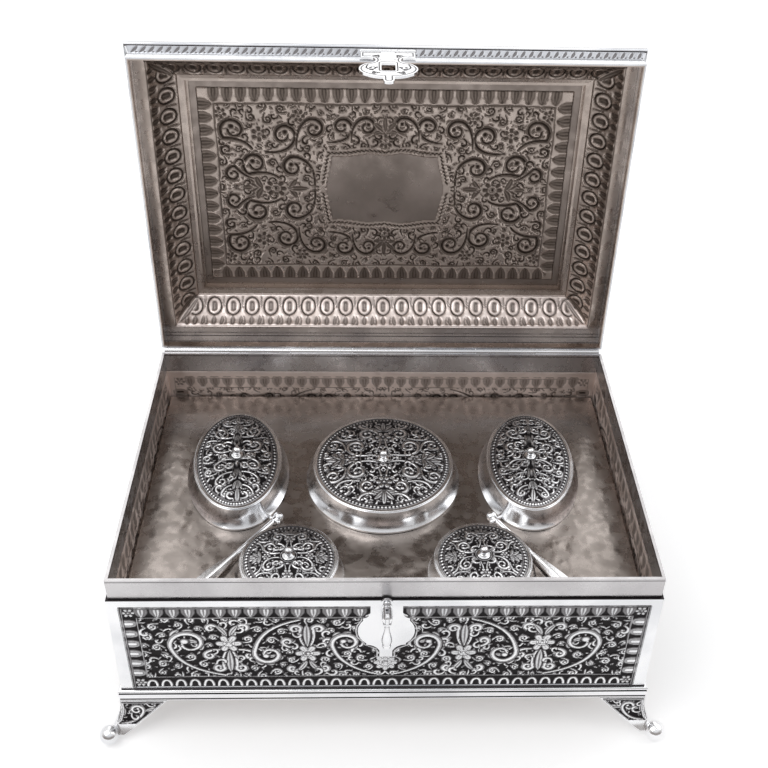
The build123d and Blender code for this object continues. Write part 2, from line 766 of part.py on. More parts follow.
# ---- latch stud and tongue ------------------------------------------------------------------
stud_z = panel_top - stud_drop
front_face = panel_face(0)
stud_y = -box_depth / 2 - panel_lean_top  # where the panel's face starts, at its top edge
stud_end = stud_y - stud_length
pivot_y = stud_end + stud_pivot_back
ear_back = pivot_y + stud_radius + 2 * tongue_side_gap

with BuildPart() as latch_stud:
    with BuildSketch(Plane.YZ):
        with BuildLine():
            turned = [(stud_y - reach, stud_z + radius) for reach, radius in stud_turning]
            end_bevel = [
                (stud_end + stud_bevel, stud_z + stud_radius),
                (stud_end, stud_z + stud_radius - stud_bevel),
                (stud_end, stud_z),
            ]
            Polyline((stud_y - stud_turning[0][0], stud_z), *turned, *end_bevel, close=True)
        make_face()
    revolve(axis=Axis((0, 0, stud_z), (0, 1, 0)))
    split(bisect_by=front_face, keep=Keep.TOP)
    box_between(
        (-tongue_slot / 2, stud_end - stud_bevel, stud_z - stud_collar),
        (tongue_slot / 2, ear_back, stud_z + stud_collar),
        mode=Mode.SUBTRACT,
    )
    with BuildSketch(Plane.YZ.offset(-stud_radius)):
        with Locations((pivot_y, stud_z)):
            Circle(tongue_pin_radius)
    extrude(amount=2 * stud_radius, mode=Mode.SUBTRACT)
latch_stud.part.label = "latch_stud"
export_step(latch_stud.part, "parts/latch_stud.step")

with BuildPart() as latch_pin:
    with BuildSketch(Plane.YZ.offset(-stud_radius)):
        with Locations((pivot_y, stud_z)):
            Circle(tongue_pin_radius)
    extrude(amount=2 * stud_radius)
latch_pin.part.label = "latch_pin"
export_step(latch_pin.part, "parts/latch_pin.step")

eye_half = tongue_slot / 2 - tongue_side_gap
tongue_low = stud_z - tongue_length
with BuildPart() as latch_tongue:
    with BuildSketch(Plane.YZ.offset(-eye_half)):
        with Locations((pivot_y, stud_z)):
            Circle(stud_radius - tongue_side_gap)
        with Locations((pivot_y, stud_z - (tongue_shoulder + tongue_collar) / 2)):
            Rectangle(2 * tongue_waist, tongue_shoulder + tongue_collar)
    extrude(amount=2 * eye_half)
    with BuildSketch(Plane.YZ.offset(0)):
        with BuildLine():
            top = stud_z - tongue_shoulder
            shank, waist = pivot_y + tongue_radius, pivot_y + tongue_waist
            toe = tongue_low + tongue_collar
            Line((pivot_y, tongue_low), (pivot_y, top))
            Line((pivot_y, top), (shank, top))
            Line((shank, top), (shank, top - tongue_collar))
            Spline(
                (shank, top - tongue_collar),
                (waist, (top + tongue_low) / 2),
                (pivot_y + tongue_swell, tongue_low + tongue_swell_at),
                (waist, toe + tongue_collar),
            )
            Line((waist, toe + tongue_collar), (shank, toe))
            Line((shank, toe), (waist, tongue_low))
            Line((waist, tongue_low), (pivot_y, tongue_low))
        make_face()
    revolve(axis=Axis((0, pivot_y, 0), (0, 0, 1)))
    with BuildSketch(Plane.YZ.offset(-stud_radius)):
        with Locations((pivot_y, stud_z)):
            Circle(tongue_pin_radius + tongue_play)
    extrude(amount=2 * stud_radius, mode=Mode.SUBTRACT)
latch_tongue.part.label = "latch_tongue"
export_step(latch_tongue.part, "parts/latch_tongue.step")


# ---- tray -----------------------------------------------------------------------------------
def pot_place(name, height):
    _, _, x, ahead, turn = pots[name]
    return Plane(origin=(x, tray_front + ahead, tray_top + height)).rotated((0, 0, turn))


def ring_face(name, height, outset):
    """The pot's plan, grown by outset, at a height above the tray."""
    half_x, half_y = pots[name][:2]
    with BuildSketch(pot_place(name, height), mode=Mode.PRIVATE) as face:
        if half_x == half_y:
            Circle(half_x + outset)
        else:
            Ellipse(half_x + outset, half_y + outset)
    return face.sketch


with BuildPart() as tray:
    with BuildSketch(Plane.XY.offset(tray_top)):
        Rectangle(tray_width, tray_depth)
    extrude(amount=-tray_wall)
    for name in pots:
        hole = ring_face(name, 0, cup_hole_gap - cup_inset)
        extrude(hole, amount=-tray_wall, mode=Mode.SUBTRACT)
tray.part.label = "tray"
export_step(tray.part, "parts/tray.step")


def tray_wire_section():
    high = tray_top - tray_wall
    Polyline((0, high), (tray_wire, high), (tray_wire, high - tray_wire), (0, high - tray_wire), close=True)


with BuildPart() as tray_edge_wire:
    for turn in SIDES.values():
        mitred_side(Plane.XY, tray_wire_section, tray_width, tray_depth, turn)
tray_edge_wire.part.label = "tray_edge_wire"
export_step(tray_edge_wire.part, "parts/tray_edge_wire.step")

# ---- pots: cup, cover and knob --------------------------------------------------------------
cup_top = ring_height - cover_wall - cup_seat
dome_top = ring_height + dome_height


def stack(name, levels, mode=Mode.ADD):
    """Adds a smooth form through the pot's plan at each (outset, height)."""
    add(loft([ring_face(name, height, outset) for outset, height in levels], mode=Mode.PRIVATE), mode=mode)


def prism(name, outset, low, high, mode=Mode.ADD):
    add(extrude(ring_face(name, low, outset), amount=high - low, mode=Mode.PRIVATE), mode=mode)


for name, (half_x, half_y, x, ahead, turn) in pots.items():
    y = tray_front + ahead
    flare = small_skirt_flare if max(half_x, half_y) < 30 else skirt_flare
    narrow = min(half_x, half_y)
    with BuildPart() as cup:
        prism(name, -cup_inset, -cup_depth, cup_top)
        fillet(cup.edges().group_by(Axis.Z)[0], cup_floor_round)
        prism(name, cup_flange - cup_inset, 0, cup_flange_wall)
        prism(name, -cup_inset - cup_wall, -cup_depth + cup_wall + cup_floor_round, cup_top, Mode.SUBTRACT)
        stack(
            name,
            (
                (-cup_inset - cup_wall, -cup_depth + cup_wall + cup_floor_round),
                (-cup_inset - cup_wall - cup_floor_round * 0.29, -cup_depth + cup_wall + cup_floor_round * 0.29),
                (-cup_inset - cup_wall - cup_floor_round, -cup_depth + cup_wall),
            ),
            Mode.SUBTRACT,
        )
    cup.part.label = f"pot_{name}"
    export_step(cup.part, f"parts/pot_{name}.step")

    seat = ring_height - ring_seat_rise
    skirt = ((flare, skirt_lift + skirt_lip), (flare * 0.5, ring_height * 0.42), (ring_seat, seat))
    hollow = [(outset - cover_wall, height) for outset, height in skirt]
    dome = [(-ring_bead, ring_height), (-narrow * 0.3, ring_height + dome_height * 0.56)]
    dome += [(-narrow * 0.6, ring_height + dome_height * 0.88), (-narrow * 0.84, dome_top)]
    with BuildPart() as cover:
        prism(name, flare, skirt_lift, skirt_lift + skirt_lip)
        stack(name, skirt)
        prism(name, ring_seat, seat, ring_height)
        prism(name, ring_bead, ring_height, ring_height + ring_bead)
        fillet(cover.edges().group_by(Axis.Z)[-1], ring_bead * 0.5)
        prism(name, -ring_bead, ring_height, ring_height + ring_bead, Mode.SUBTRACT)
        stack(name, dome)
        prism(name, flare - cover_wall, skirt_lift, skirt_lift + skirt_lip, Mode.SUBTRACT)
        stack(name, hollow, Mode.SUBTRACT)
        prism(name, ring_seat - cover_wall, seat, ring_height - cover_wall, Mode.SUBTRACT)
        under = [(outset, height - cover_wall) for outset, height in dome]
        stack(name, under, Mode.SUBTRACT)
    cover.part.label = f"cover_{name}"
    export_step(cover.part, f"parts/cover_{name}.step")

    with BuildPart() as knob:
        with BuildSketch(Plane(origin=(x, y, tray_top + dome_top), x_dir=(1, 0, 0), z_dir=(0, -1, 0))):
            with BuildLine():
                ball_middle = knob_height - knob_ball
                neck = knob_ball * 0.55
                neck_height = ball_middle - math.sqrt(knob_ball**2 - neck**2)
                Line((0, 0), (knob_collar, 0))
                Line((knob_collar, 0), (knob_collar, 0.6))
                Line((knob_collar, 0.6), (knob_collar * 0.72, 0.9))
                Line((knob_collar * 0.72, 0.9), (knob_collar * 0.72, 1.5))
                Line((knob_collar * 0.72, 1.5), (neck, neck_height))
                ThreePointArc((neck, neck_height), (knob_ball, ball_middle), (0, knob_height))
                Line((0, knob_height), (0, 0))
            make_face()
        revolve(axis=Axis((x, y, 0), (0, 0, 1)))
    knob.part.label = f"knob_{name}"
    export_step(knob.part, f"parts/knob_{name}.step")

# ---- spoons ---------------------------------------------------------------------------------
for name, (x, ahead, heading) in spoons.items():
    droop = math.degrees(math.asin((finial_ball - spoon_blade_wall / 2) / spoon_length))
    middle = (x, tray_front + ahead, tray_top + finial_ball)
    lie = Plane(origin=middle).rotated((0, 0, heading)).rotated((0, droop, 0))
    with BuildPart() as spoon:
        with BuildSketch(Plane(lie.location * Location((0, 0, -spoon_blade_wall / 2)))):
            with BuildLine():
                Spline(
                    (spoon_blade_start, 0),
                    (spoon_blade_start + 14, spoon_rod * 1.25),
                    (spoon_blade_widest, spoon_blade),
                    (spoon_length - 6, spoon_blade * 0.62),
                    (spoon_length, 0),
                )
                Line((spoon_length, 0), (spoon_blade_start, 0))
            make_face()
            mirror(about=Plane.XZ)
        extrude(amount=spoon_blade_wall)
        rod_plane = Plane(lie.location * Plane(origin=(0, 0, 0), x_dir=(0, 1, 0), z_dir=(1, 0, 0)).location)
        with BuildSketch(rod_plane.offset(finial_length)):
            Circle(spoon_rod)
        with BuildSketch(rod_plane.offset(spoon_blade_widest)):
            Circle(spoon_rod * 0.62)
        loft()
    spoon.part.label = f"spoon_{name}"
    export_step(spoon.part, f"parts/spoon_{name}.step")

    neck_at = finial_length * 0.55
    ball_cut = math.sqrt(finial_ball**2 - finial_neck**2)
    with BuildPart() as finial:
        with BuildSketch(Plane(lie.location * Plane.XY.location)):
            with BuildLine():
                Line((-finial_ball, 0), (finial_length, 0))
                Line((finial_length, 0), (finial_length, finial_collar))
                Line((finial_length, finial_collar), (neck_at, finial_collar))
                Line((neck_at, finial_collar), (ball_cut, finial_neck))
                ThreePointArc((ball_cut, finial_neck), (0, finial_ball), (-finial_ball, 0))
            make_face()
        revolve(axis=Axis(lie.origin, lie.x_dir))
        for side in (-1, 1):
            bud = Location((finial_length - finial_bud - 0.1, side * (finial_collar + 0.2), 0))
            with Locations(lie.location * bud):
                Sphere(finial_bud)
    finial.part.label = f"finial_{name}"
    export_step(finial.part, f"parts/finial_{name}.step")
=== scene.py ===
import json
import math
import random

import bmesh
import bpy
import numpy as np
from mathutils import Matrix, Vector
from mathutils.bvhtree import BVHTree


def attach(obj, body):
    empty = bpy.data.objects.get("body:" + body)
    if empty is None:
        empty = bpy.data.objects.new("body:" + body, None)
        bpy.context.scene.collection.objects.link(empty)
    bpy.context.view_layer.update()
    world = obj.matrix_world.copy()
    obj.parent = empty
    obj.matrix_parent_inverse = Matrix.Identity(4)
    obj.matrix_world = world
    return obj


# Looks for a chased silver paan box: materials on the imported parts, and raised sheets of
# scrolling leaves in the sunk fields, drawn stroke by stroke as a chaser punches them.
# Lengths in the dictionaries are millimetres, and the scene itself is in metres.

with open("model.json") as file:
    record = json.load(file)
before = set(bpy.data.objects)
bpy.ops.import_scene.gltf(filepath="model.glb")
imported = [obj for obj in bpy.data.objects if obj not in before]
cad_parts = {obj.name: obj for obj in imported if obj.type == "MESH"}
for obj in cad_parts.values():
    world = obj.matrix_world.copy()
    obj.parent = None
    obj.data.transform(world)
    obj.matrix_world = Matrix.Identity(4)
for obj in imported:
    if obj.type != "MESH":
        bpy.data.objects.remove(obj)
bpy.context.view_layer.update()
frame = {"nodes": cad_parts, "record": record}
print("frame loaded:", len(frame["nodes"]), "nodes")

mm = 0.001
fullTurn = 2 * math.pi
rng = random.Random(11)


class Wire:  # wraps a socket, so that sums of values add their Math nodes
    def __init__(self, finish, socket):
        self.finish, self.socket = finish, socket

    def maths(self, operation, *values):
        return self.finish.node("ShaderNodeMath", {"operation": operation}, dict(enumerate(values)))

    def __add__(self, other): return self.maths("ADD", self, other)
    def __radd__(self, other): return self.maths("ADD", other, self)
    def __sub__(self, other): return self.maths("SUBTRACT", self, other)
    def __rsub__(self, other): return self.maths("SUBTRACT", other, self)
    def __mul__(self, other): return self.maths("MULTIPLY", self, other)

    def clamped(self):
        return self.finish.node("ShaderNodeClamp", {}, {"Value": self})


class Finish:  # one node tree, of a material or of the world
    def __init__(self, owner):
        owner.use_nodes = True
        self.tree = owner.node_tree
        self.tree.nodes.clear()

    def node(self, kind, settings=None, sockets=None, out=0):
        made = self.tree.nodes.new(kind)
        for key, value in (settings or {}).items():
            setattr(made, key, value)
        for key, value in (sockets or {}).items():
            if isinstance(value, Wire):
                self.tree.links.new(value.socket, made.inputs[key])
            elif isinstance(value, tuple) and len(value) == 3 and made.inputs[key].type == "RGBA":
                made.inputs[key].default_value = (*value, 1)
            else:
                made.inputs[key].default_value = value
        return Wire(self, made.outputs[out]) if made.outputs else None

    def noise(self, place, size, detail=2.0, roughness=0.5):
        sockets = {"Vector": place, "Scale": 1 / mm / size, "Detail": detail, "Roughness": roughness}
        return self.node("ShaderNodeTexNoise", {}, sockets)

    def blend(self, share, low, high):
        settings = {"data_type": "RGBA", "blend_type": "MIX"}
        return self.node("ShaderNodeMix", settings, {0: share, 6: low, 7: high}, out=2)

    def between(self, value, low, high, toLow=0.0, toHigh=1.0):
        sockets = {"Value": value, 1: low, 2: high, 3: toLow, 4: toHigh}
        return self.node("ShaderNodeMapRange", {"interpolation_type": "SMOOTHSTEP"}, sockets)

    def stretched(self, place, scales):
        return self.node("ShaderNodeMapping", {}, {"Vector": place, "Scale": scales})

    def seen(self):  # 1 for rays from the camera, and for those that metal or glass sends on
        path = self.tree.nodes.new("ShaderNodeLightPath")
        rays = [Wire(self, path.outputs[f"Is {kind} Ray"]) for kind in ("Camera", "Glossy", "Transmission")]
        return (rays[0] + rays[1] + rays[2]).clamped()

    def finishAs(self, kind, shader):
        self.node(kind, {}, {"Surface": shader})


# Finishes. The first table holds colours, the second the sizes and depths of the wear on them.
silverLook = {
    "bright": (0.86, 0.86, 0.87),
    "soft": (0.70, 0.705, 0.72),
    # ground and hollow are the oxide in the chasing's hollows; the slope colours are partly oxide and partly
    # painted shade on the sides of the relief
    "ground": (0.020, 0.018, 0.019),
    "slope": (0.17, 0.163, 0.168),
    "warm": (0.46, 0.395, 0.355),
    "warmSoft": (0.38, 0.32, 0.285),
    "warmSlope": (0.16, 0.13, 0.112),
    "hollow": (0.030, 0.022, 0.018),
    "border": (0.30, 0.255, 0.23),
    "borderSoft": (0.22, 0.185, 0.165),
    # the box's inner walls; on the back cove's inside these lighter colours are painted light, where it faces
    # up and catches the light
    "wall": (0.90, 0.80, 0.755),
    "wallSoft": (0.80, 0.71, 0.67),
    "wallSlope": (0.40, 0.345, 0.32),
    "edge": (0.48, 0.49, 0.52),
    "edgeSoft": (0.38, 0.385, 0.41),
    "band": (0.58, 0.565, 0.57),
    "bandSoft": (0.48, 0.465, 0.47),
    "tray": (0.36, 0.32, 0.295),
    "traySoft": (0.25, 0.22, 0.20),
    # tarnish in the grooves and joints, and painted shade on the panels' bottom ledge
    "tarnishAndShade": (0.030, 0.026, 0.028),
}
wearLook = {
    "cloud": 38.0,
    "smear": 7.0,
    "smearShares": (0.75, 1.35),  # of the roughness
    "pit": 1.1,
    "pitDepth": 0.16,
    "hammerDepth": 1.2,
    "scratch": 0.9,
    "scratchDepth": 0.2,
    "grooveEdge": 0.15,
}

lidHinge = next(j for j in frame["record"]["behaviour"]["joints"] if j["name"] == "lid_hinge")
lidOpen = math.radians(-lidHinge["range_deg"][0])
hingeY, hingeZ = lidHinge["pos_m"][1] / mm, lidHinge["pos_m"][2] / mm
lidUp = (0.0, math.sin(lidOpen), math.cos(lidOpen))  # the closed lid's upward direction
lidEdge = hingeY * lidUp[1] + hingeZ * lidUp[2]


def silver(
    kind, light, dark, rough, rippleSize=22.0, ripple=0.25,
    deep=None, levels=(0.12, 0.5, 0.95), grooves=(), up=(0.0, 0.0, 1.0), start=0.0,
):
    # deep names the colours of a sheet's ground and of its slopes; grooves are heights along up
    look, tone = wearLook, silverLook
    material = bpy.data.materials.new(f"{kind}Silver")
    f = Finish(material)
    place = f.node("ShaderNodeTexCoord", out=3)
    cloud = f.noise(place, look["cloud"], 4.0)
    smear = f.noise(place, look["smear"], 3.0)
    colour = f.blend(f.between(cloud, 0.38, 0.68), tone[light], tone[dark])
    grain = f.between(smear, 0.3, 0.7, *(rough * share for share in look["smearShares"]))
    # the lower on the relief, the darker: oxide on the ground, and partly oxide, partly painted shade on the
    # slopes
    if deep:
        height = f.node("ShaderNodeAttribute", {"attribute_name": "relief"}, out=2)
        level = height + (f.noise(place, look["pit"]) - 0.5) * look["pitDepth"]
        colour = f.blend(f.between(level, levels[1], levels[2]), tone[deep[1]], colour)
        colour = f.blend(f.between(level, levels[0], levels[1]), tone[deep[0]], colour)
        grain = 0.5 + (grain - 0.5) * f.between(level, levels[0], levels[2])
    if grooves:  # darker in the grooves and along the joints: tarnish, and painted shade on the panels' bottom ledge
        along = f.node("ShaderNodeVectorMath", {"operation": "DOT_PRODUCT"}, {0: place, 1: up}, out=1)
    for groove in grooves:
        low, high = ((start + level) * mm for level in groove)
        soft = look["grooveEdge"] * mm
        shade = f.between(along, low - soft, low) * (1 - f.between(along, high, high + soft))
        colour = f.blend(shade, colour, tone["tarnishAndShade"])
    hammer = {"Strength": ripple, "Distance": look["hammerDepth"] * mm}
    hammer["Height"] = f.noise(place, rippleSize, 1.5, 0.4)
    scratch = {"Strength": 0.05, "Distance": look["scratchDepth"] * mm}
    scratch["Height"] = f.noise(f.stretched(place, (1.0, 0.08, 1.0)), look["scratch"])
    scratch["Normal"] = f.node("ShaderNodeBump", {}, hammer)
    shell = {"Base Color": colour, "Metallic": 1.0, "Roughness": grain}
    shell["Normal"] = f.node("ShaderNodeBump", {}, scratch)
    f.finishAs("ShaderNodeOutputMaterial", f.node("ShaderNodeBsdfPrincipled", {}, shell))
    return material


finishLook = {  # light and dark colour, roughness, size and strength of the hammering, and the rest
    "polished": ("bright", "soft", 0.17),
    # the lower band is the panel's bottom ledge: an oxidised line with painted shade and a painted reflection
    # of the dark panel above
    "panel": ("bright", "soft", 0.19, {"grooves": [(35.2, 36.2), (105.9, 107.0)]}),
    "band": ("band", "bandSoft", 0.26, 30.0, 0.2, {"grooves": [(106.0, 106.5), (118.4, 118.7)]}),
    "moulding": ("bright", "soft", 0.18, {"grooves": [(26.0, 27.2), (28.0, 29.1), (32.5, 33.6)]}),
    "lidWall": (
        "soft", "edge", 0.24,
        {"grooves": [(5.9, 6.5), (12.3, 13.0), (15.4, 16.1)], "up": lidUp, "start": lidEdge},
    ),
    "edgeChased": ("edge", "edgeSoft", 0.28, {"deep": ("ground", "slope")}),
    "chased": ("bright", "soft", 0.22, {"deep": ("ground", "slope")}),
    "inside": ("warm", "warmSoft", 0.27, 26.0, 0.3),
    "border": ("border", "borderSoft", 0.34, 26.0, 0.2),
    "insideChased": ("warm", "warmSoft", 0.28, {"deep": ("hollow", "warmSlope"), "levels": (0.0, 0.4, 0.85)}),
    "wallAndLitCoveChased": ("wall", "wallSoft", 0.46, {"deep": ("hollow", "wallSlope"), "levels": (0.0, 0.35, 0.75)}),
    "tray": ("tray", "traySoft", 0.27, 9.0, 0.42),
}
finishes = {}
for kind, row in finishLook.items():
    rest = row[-1] if isinstance(row[-1], dict) else {}
    finishes[kind] = silver(kind, *(value for value in row if value is not rest), **rest)
print("finishes made")

nodeFinish = {
    "inside": ["floor_plate", "tray_ledges", "tray_edge_wire", "lid_rest_strip", "lid_cove", "lid_step"],
    "border": ["lid_top_panel"],
    "tray": ["tray"],
    "band": ["rim_band"],
    "moulding": ["base_moulding"],
    "panel": ["front_panel", "right_panel", "back_panel", "left_panel"],
    "lidWall": ["lid_wall"],
}
for name, node in frame["nodes"].items():
    kind = next((k for k, names in nodeFinish.items() if name in names), "polished")
    node.data.materials.clear()
    node.data.materials.append(finishes[kind])


class Chasing:
    # the chaser's strokes on a sheet at points x, y in millimetres; h is its height there, which
    # is 0 on the ground and 1 at full relief
    def __init__(self, x, y):
        self.x, self.y = x, y
        self.h = np.zeros(len(x))

    def stroke(self, points, widths, rise=1.0, vein=0.0, edge=0.35, lines=()):
        # a ridge along the points; it cuts a line round itself through what is under it, and
        # lines holds (share of the half width to the left, depth) of what is engraved along it
        points = np.asarray(points, float)
        widths = np.asarray(widths, float)
        reach = widths.max() * (1 + edge) + 0.05
        low, high = points.min(0) - reach, points.max(0) + reach
        near = np.nonzero(
            (self.x > low[0]) & (self.x < high[0]) & (self.y > low[1]) & (self.y < high[1])
        )[0]
        if not len(near):
            return
        px, py = self.x[near], self.y[near]
        best = np.full(len(near), 9.0)
        hand = np.zeros(len(near))
        for (ax, ay), (bx, by), wa, wb in zip(points[:-1], points[1:], widths[:-1], widths[1:]):
            dx, dy = bx - ax, by - ay
            along = np.clip(((px - ax) * dx + (py - ay) * dy) / (dx * dx + dy * dy + 1e-9), 0, 1)
            ox, oy = px - ax - along * dx, py - ay - along * dy
            away = np.hypot(ox, oy) / (wa + (wb - wa) * along)
            closer = away < best
            best = np.where(closer, away, best)
            hand = np.where(closer, np.sign(dx * oy - dy * ox), hand)
        inside = best < 1
        ridge = rise * np.clip(1 - best**2, 0, 1) ** 0.55
        if vein:
            ridge -= rise * vein * np.exp(-((best / 0.28) ** 2))
        for share, depth in lines:
            ridge -= rise * depth * np.exp(-(((best * hand - share) / 0.17) ** 2))
        ridge = np.maximum(ridge, 0)
        height = self.h[near]
        cut = (best >= 1) & (best < 1 + edge)
        height[cut] *= ((best[cut] - 1) / edge) ** 0.7
        height[inside] = np.maximum(ridge[inside], height[inside] * 0.15)
        self.h[near] = height

    def line(self, a, b, width):
        self.stroke([a, b], [width, width], 0.8, edge=0.3)

    def ball(self, x, y, radius, rise=1.0):
        self.stroke([(x - radius * 0.05, y), (x + radius * 0.05, y)], [radius, radius], rise)


def bezier(a, b, c, steps):
    return [
        ((1 - t) ** 2 * a[0] + 2 * t * (1 - t) * b[0] + t * t * c[0],
         (1 - t) ** 2 * a[1] + 2 * t * (1 - t) * b[1] + t * t * c[1])
        for t in (i / steps for i in range(steps + 1))
    ]


def polar(centre, radius, angle):
    return centre[0] + radius * math.cos(angle), centre[1] + radius * math.sin(angle)


def ring(centre, across, along, count):
    angles = (fullTurn * i / count for i in range(count + 1))
    return [(centre[0] + across * math.cos(a), centre[1] + along * math.sin(a)) for a in angles]


def leaf(sheet, base, heading, length, width, bend=0.0):
    # a pointed leaf with a sunk rib, curving to one side by bend radians
    points, widths = [base], [width * 0.2]
    steps = 7
    for i in range(steps):
        t = (i + 1) / steps
        points.append(polar(points[-1], length / steps, heading + bend * t))
        widths.append(width * (0.2 + 0.85 * math.sin(math.pi * min(1, t * 0.93)) ** 0.9))
    widths[-1] = width * 0.12
    sheet.stroke(points, widths, 1.0, 0.55)


def curl(sheet, base, heading, size, hand):
    # a comma: a thin tail that thickens, turns over and ends in a knob
    points, widths = [base], [size * 0.09]
    steps = 13
    for i in range(steps):
        t = (i + 1) / steps
        step = size * 0.24 * (1 - 0.62 * t)
        points.append(polar(points[-1], step, heading + hand * 4.9 * t**1.35))
        widths.append(size * (0.10 + 0.10 * math.sin(math.pi * t * 0.8)))
    sheet.stroke(points, widths)
    sheet.ball(*points[-1], size * 0.17)


def tendril(sheet, start, centre, radius, hand, bend=0.0, turns=1.15, width=0.75, lobes=3):
    # a stem from start that runs into a spiral round the centre, with leaf lobes on its back
    towards = math.atan2(centre[1] - start[1], centre[0] - start[0])
    first = towards - hand * math.pi / 2
    steps = int(15 * turns) + 4
    spiral, swelling = [], []
    for i in range(steps + 1):
        t = i / steps
        spiral.append(polar(centre, radius * (1 - 0.74 * t**0.85), first + hand * fullTurn * turns * t))
        swelling.append(width * (1.12 + 0.3 * math.sin(math.pi * min(1, 1.7 * i / steps)) - 0.4 * i / steps))
    join = spiral[0]
    halfway = ((start[0] + join[0]) / 2, (start[1] + join[1]) / 2)
    stem = bezier(start, polar(halfway, math.dist(start, join) * bend, first), join, 8)[:-1]
    widths = [width * (0.62 + 0.5 * i / len(stem)) for i in range(len(stem))] + swelling
    for n in range(lobes):  # lobes grow outwards from the back of the first half turn
        i = int(2 + (n + 0.4) * steps * 0.5 / max(1, lobes))
        px, py = spiral[i]
        qx, qy = spiral[i + 1]
        along = math.atan2(qy - py, qx - px)
        size = radius * (0.62 - 0.08 * n) + 1.0
        leaf(sheet, (px, py), along - hand * 0.75, size, size * 0.27, bend=hand * 0.9)
    if radius > 6:  # a leaf fills the eye of a large scroll
        inwards = first + hand * fullTurn * turns + hand * 2.0
        leaf(sheet, spiral[-1], inwards, radius * 0.62, radius * 0.15, hand * 1.1)
    sheet.stroke(stem + spiral, widths, lines=[(-0.35 * hand, 0.42)])
    sheet.ball(*spiral[-1], max(0.9, radius * 0.22))


def rosette(sheet, x, y, radius, petals=6, turn=0.0):
    wide = min(radius * 0.33, radius * 0.67 * math.sin(math.pi / petals))
    for i in range(petals):
        a = turn + fullTurn * i / petals
        ends = [polar((x, y), radius * 0.48, a), polar((x, y), radius * 0.78, a)]
        sheet.stroke(ends, [wide * 0.85, wide], 1.0, vein=0.3, edge=0.14)
    sheet.ball(x, y, radius * 0.36)
    sheet.stroke(ring((x, y), radius * 0.2, radius * 0.2, 12), [radius * 0.06] * 13, 0.5)


def palmette(sheet, base, heading, size, lobes, spread):
    for i in range(lobes):
        off = (i / (lobes - 1) - 0.5) * 2
        length = size * (1 - 0.35 * abs(off) ** 1.5)
        leaf(sheet, base, heading + off * spread, length, size * 0.15, bend=off * 0.7)


tongueShapes = {  # shares of the height, half widths as shares of the pitch, engraved ribs
    "heart": (
        (0.0, 0.32, 0.62, 0.85, 1.0), (0.47, 0.47, 0.34, 0.17, 0.05), [(-0.5, 0.4), (0, 0.5), (0.5, 0.4)],
    ),
    "lobe": ((0.0, 0.40, 0.70), (0.40, 0.42, 0.36), [(-0.4, 0.35), (0.4, 0.35)]),
}


def tongueRow(sheet, a, b, height, pitch, shape):
    # a row of tongues, or of half rings, from a to b, standing to the left of that line
    run = math.dist(a, b)
    count = max(1, round(run / pitch))
    ux, uy = (b[0] - a[0]) / run, (b[1] - a[1]) / run
    nx, ny = -uy, ux
    pitch = run / count
    for i in range(count):
        s = (i + 0.5) * pitch
        foot = (a[0] + ux * s, a[1] + uy * s)
        if shape == "arch":
            turns = [math.pi * k / 10 for k in range(11)]
            across = [0.32 * pitch * math.cos(t) for t in turns]
            high = [height * math.sin(t) for t in turns]
            arch = [(foot[0] + ux * w + nx * h, foot[1] + uy * w + ny * h) for w, h in zip(across, high)]
            sheet.stroke(arch, [pitch * 0.115] * 11)
            continue
        levels, shares, ribs = tongueShapes[shape]
        points = [(foot[0] + nx * height * v, foot[1] + ny * height * v) for v in levels]
        sheet.stroke(points, [pitch * w for w in shares], lines=ribs, edge=0.12)


def fillGround(sheet, inside, smallest, largest, spacing=1.3):
    # finds the widest bare places and puts a sprig, curl or berry in each, largest first
    def jitter(at):
        return at + (rng.random() - 0.5) * spacing

    xs = np.arange(sheet.x.min(), sheet.x.max(), spacing)
    ys = np.arange(sheet.y.min(), sheet.y.max(), spacing)
    spots = np.array([(jitter(x), jitter(y)) for x in xs for y in ys])
    spots = spots[inside(spots[:, 0], spots[:, 1])]
    busy = np.nonzero(sheet.h > 0.3)[0][::2]
    wallX, wallY = sheet.x[busy], sheet.y[busy]
    free = np.empty(len(spots))
    lean = np.empty(len(spots))
    for start in range(0, len(spots), 200):
        part = spots[start:start + 200]
        dx = part[:, :1] - wallX[None, :]
        dy = part[:, 1:] - wallY[None, :]
        apart = dx * dx + dy * dy
        nearest = apart.argmin(1)
        rows = np.arange(len(part))
        free[start:start + 200] = np.sqrt(apart[rows, nearest])
        lean[start:start + 200] = np.arctan2(dy[rows, nearest], dx[rows, nearest])
    placed = 0
    while len(free) and free.max() > smallest:
        i = int(free.argmax())
        x, y = spots[i]
        room = min(free[i], largest) * 0.95
        a = lean[i]
        hand = 1 if rng.random() < 0.5 else -1
        base = polar((x, y), -room * 0.95, a)
        if room > 2.6:
            tendril(sheet, base, (x, y), room * 0.62, hand, bend=0.2, width=room * 0.17, lobes=2)
        elif room > 1.5:
            curl(sheet, base, a, room * 2.0, hand)
            leaf(sheet, base, a - hand * 0.9, room * 1.25, room * 0.24, bend=-hand * 0.5)
        elif room > 0.95:
            leaf(sheet, base, a, room * 1.9, room * 0.42, bend=hand * 0.8)
        else:
            sheet.ball(x, y, room * 0.7, 0.8)
        gone = np.hypot(spots[:, 0] - x, spots[:, 1] - y)
        left = gone - room * 0.95
        closer = left < free
        free = np.where(closer, left, free)
        lean = np.where(closer, np.arctan2(spots[:, 1] - y, spots[:, 0] - x), lean)
        placed += 1
    return placed


def gridPoints(columns, rows):
    bm = bmesh.new()
    bmesh.ops.create_grid(bm, x_segments=columns, y_segments=rows, size=0.5)
    mesh = bpy.data.meshes.new("sheet")
    bm.to_mesh(mesh)
    bm.free()
    flat = np.empty(len(mesh.vertices) * 3)
    mesh.vertices.foreach_get("co", flat)
    flat = flat.reshape(-1, 3)
    return mesh, flat[:, 0] + 0.5, flat[:, 1] + 0.5


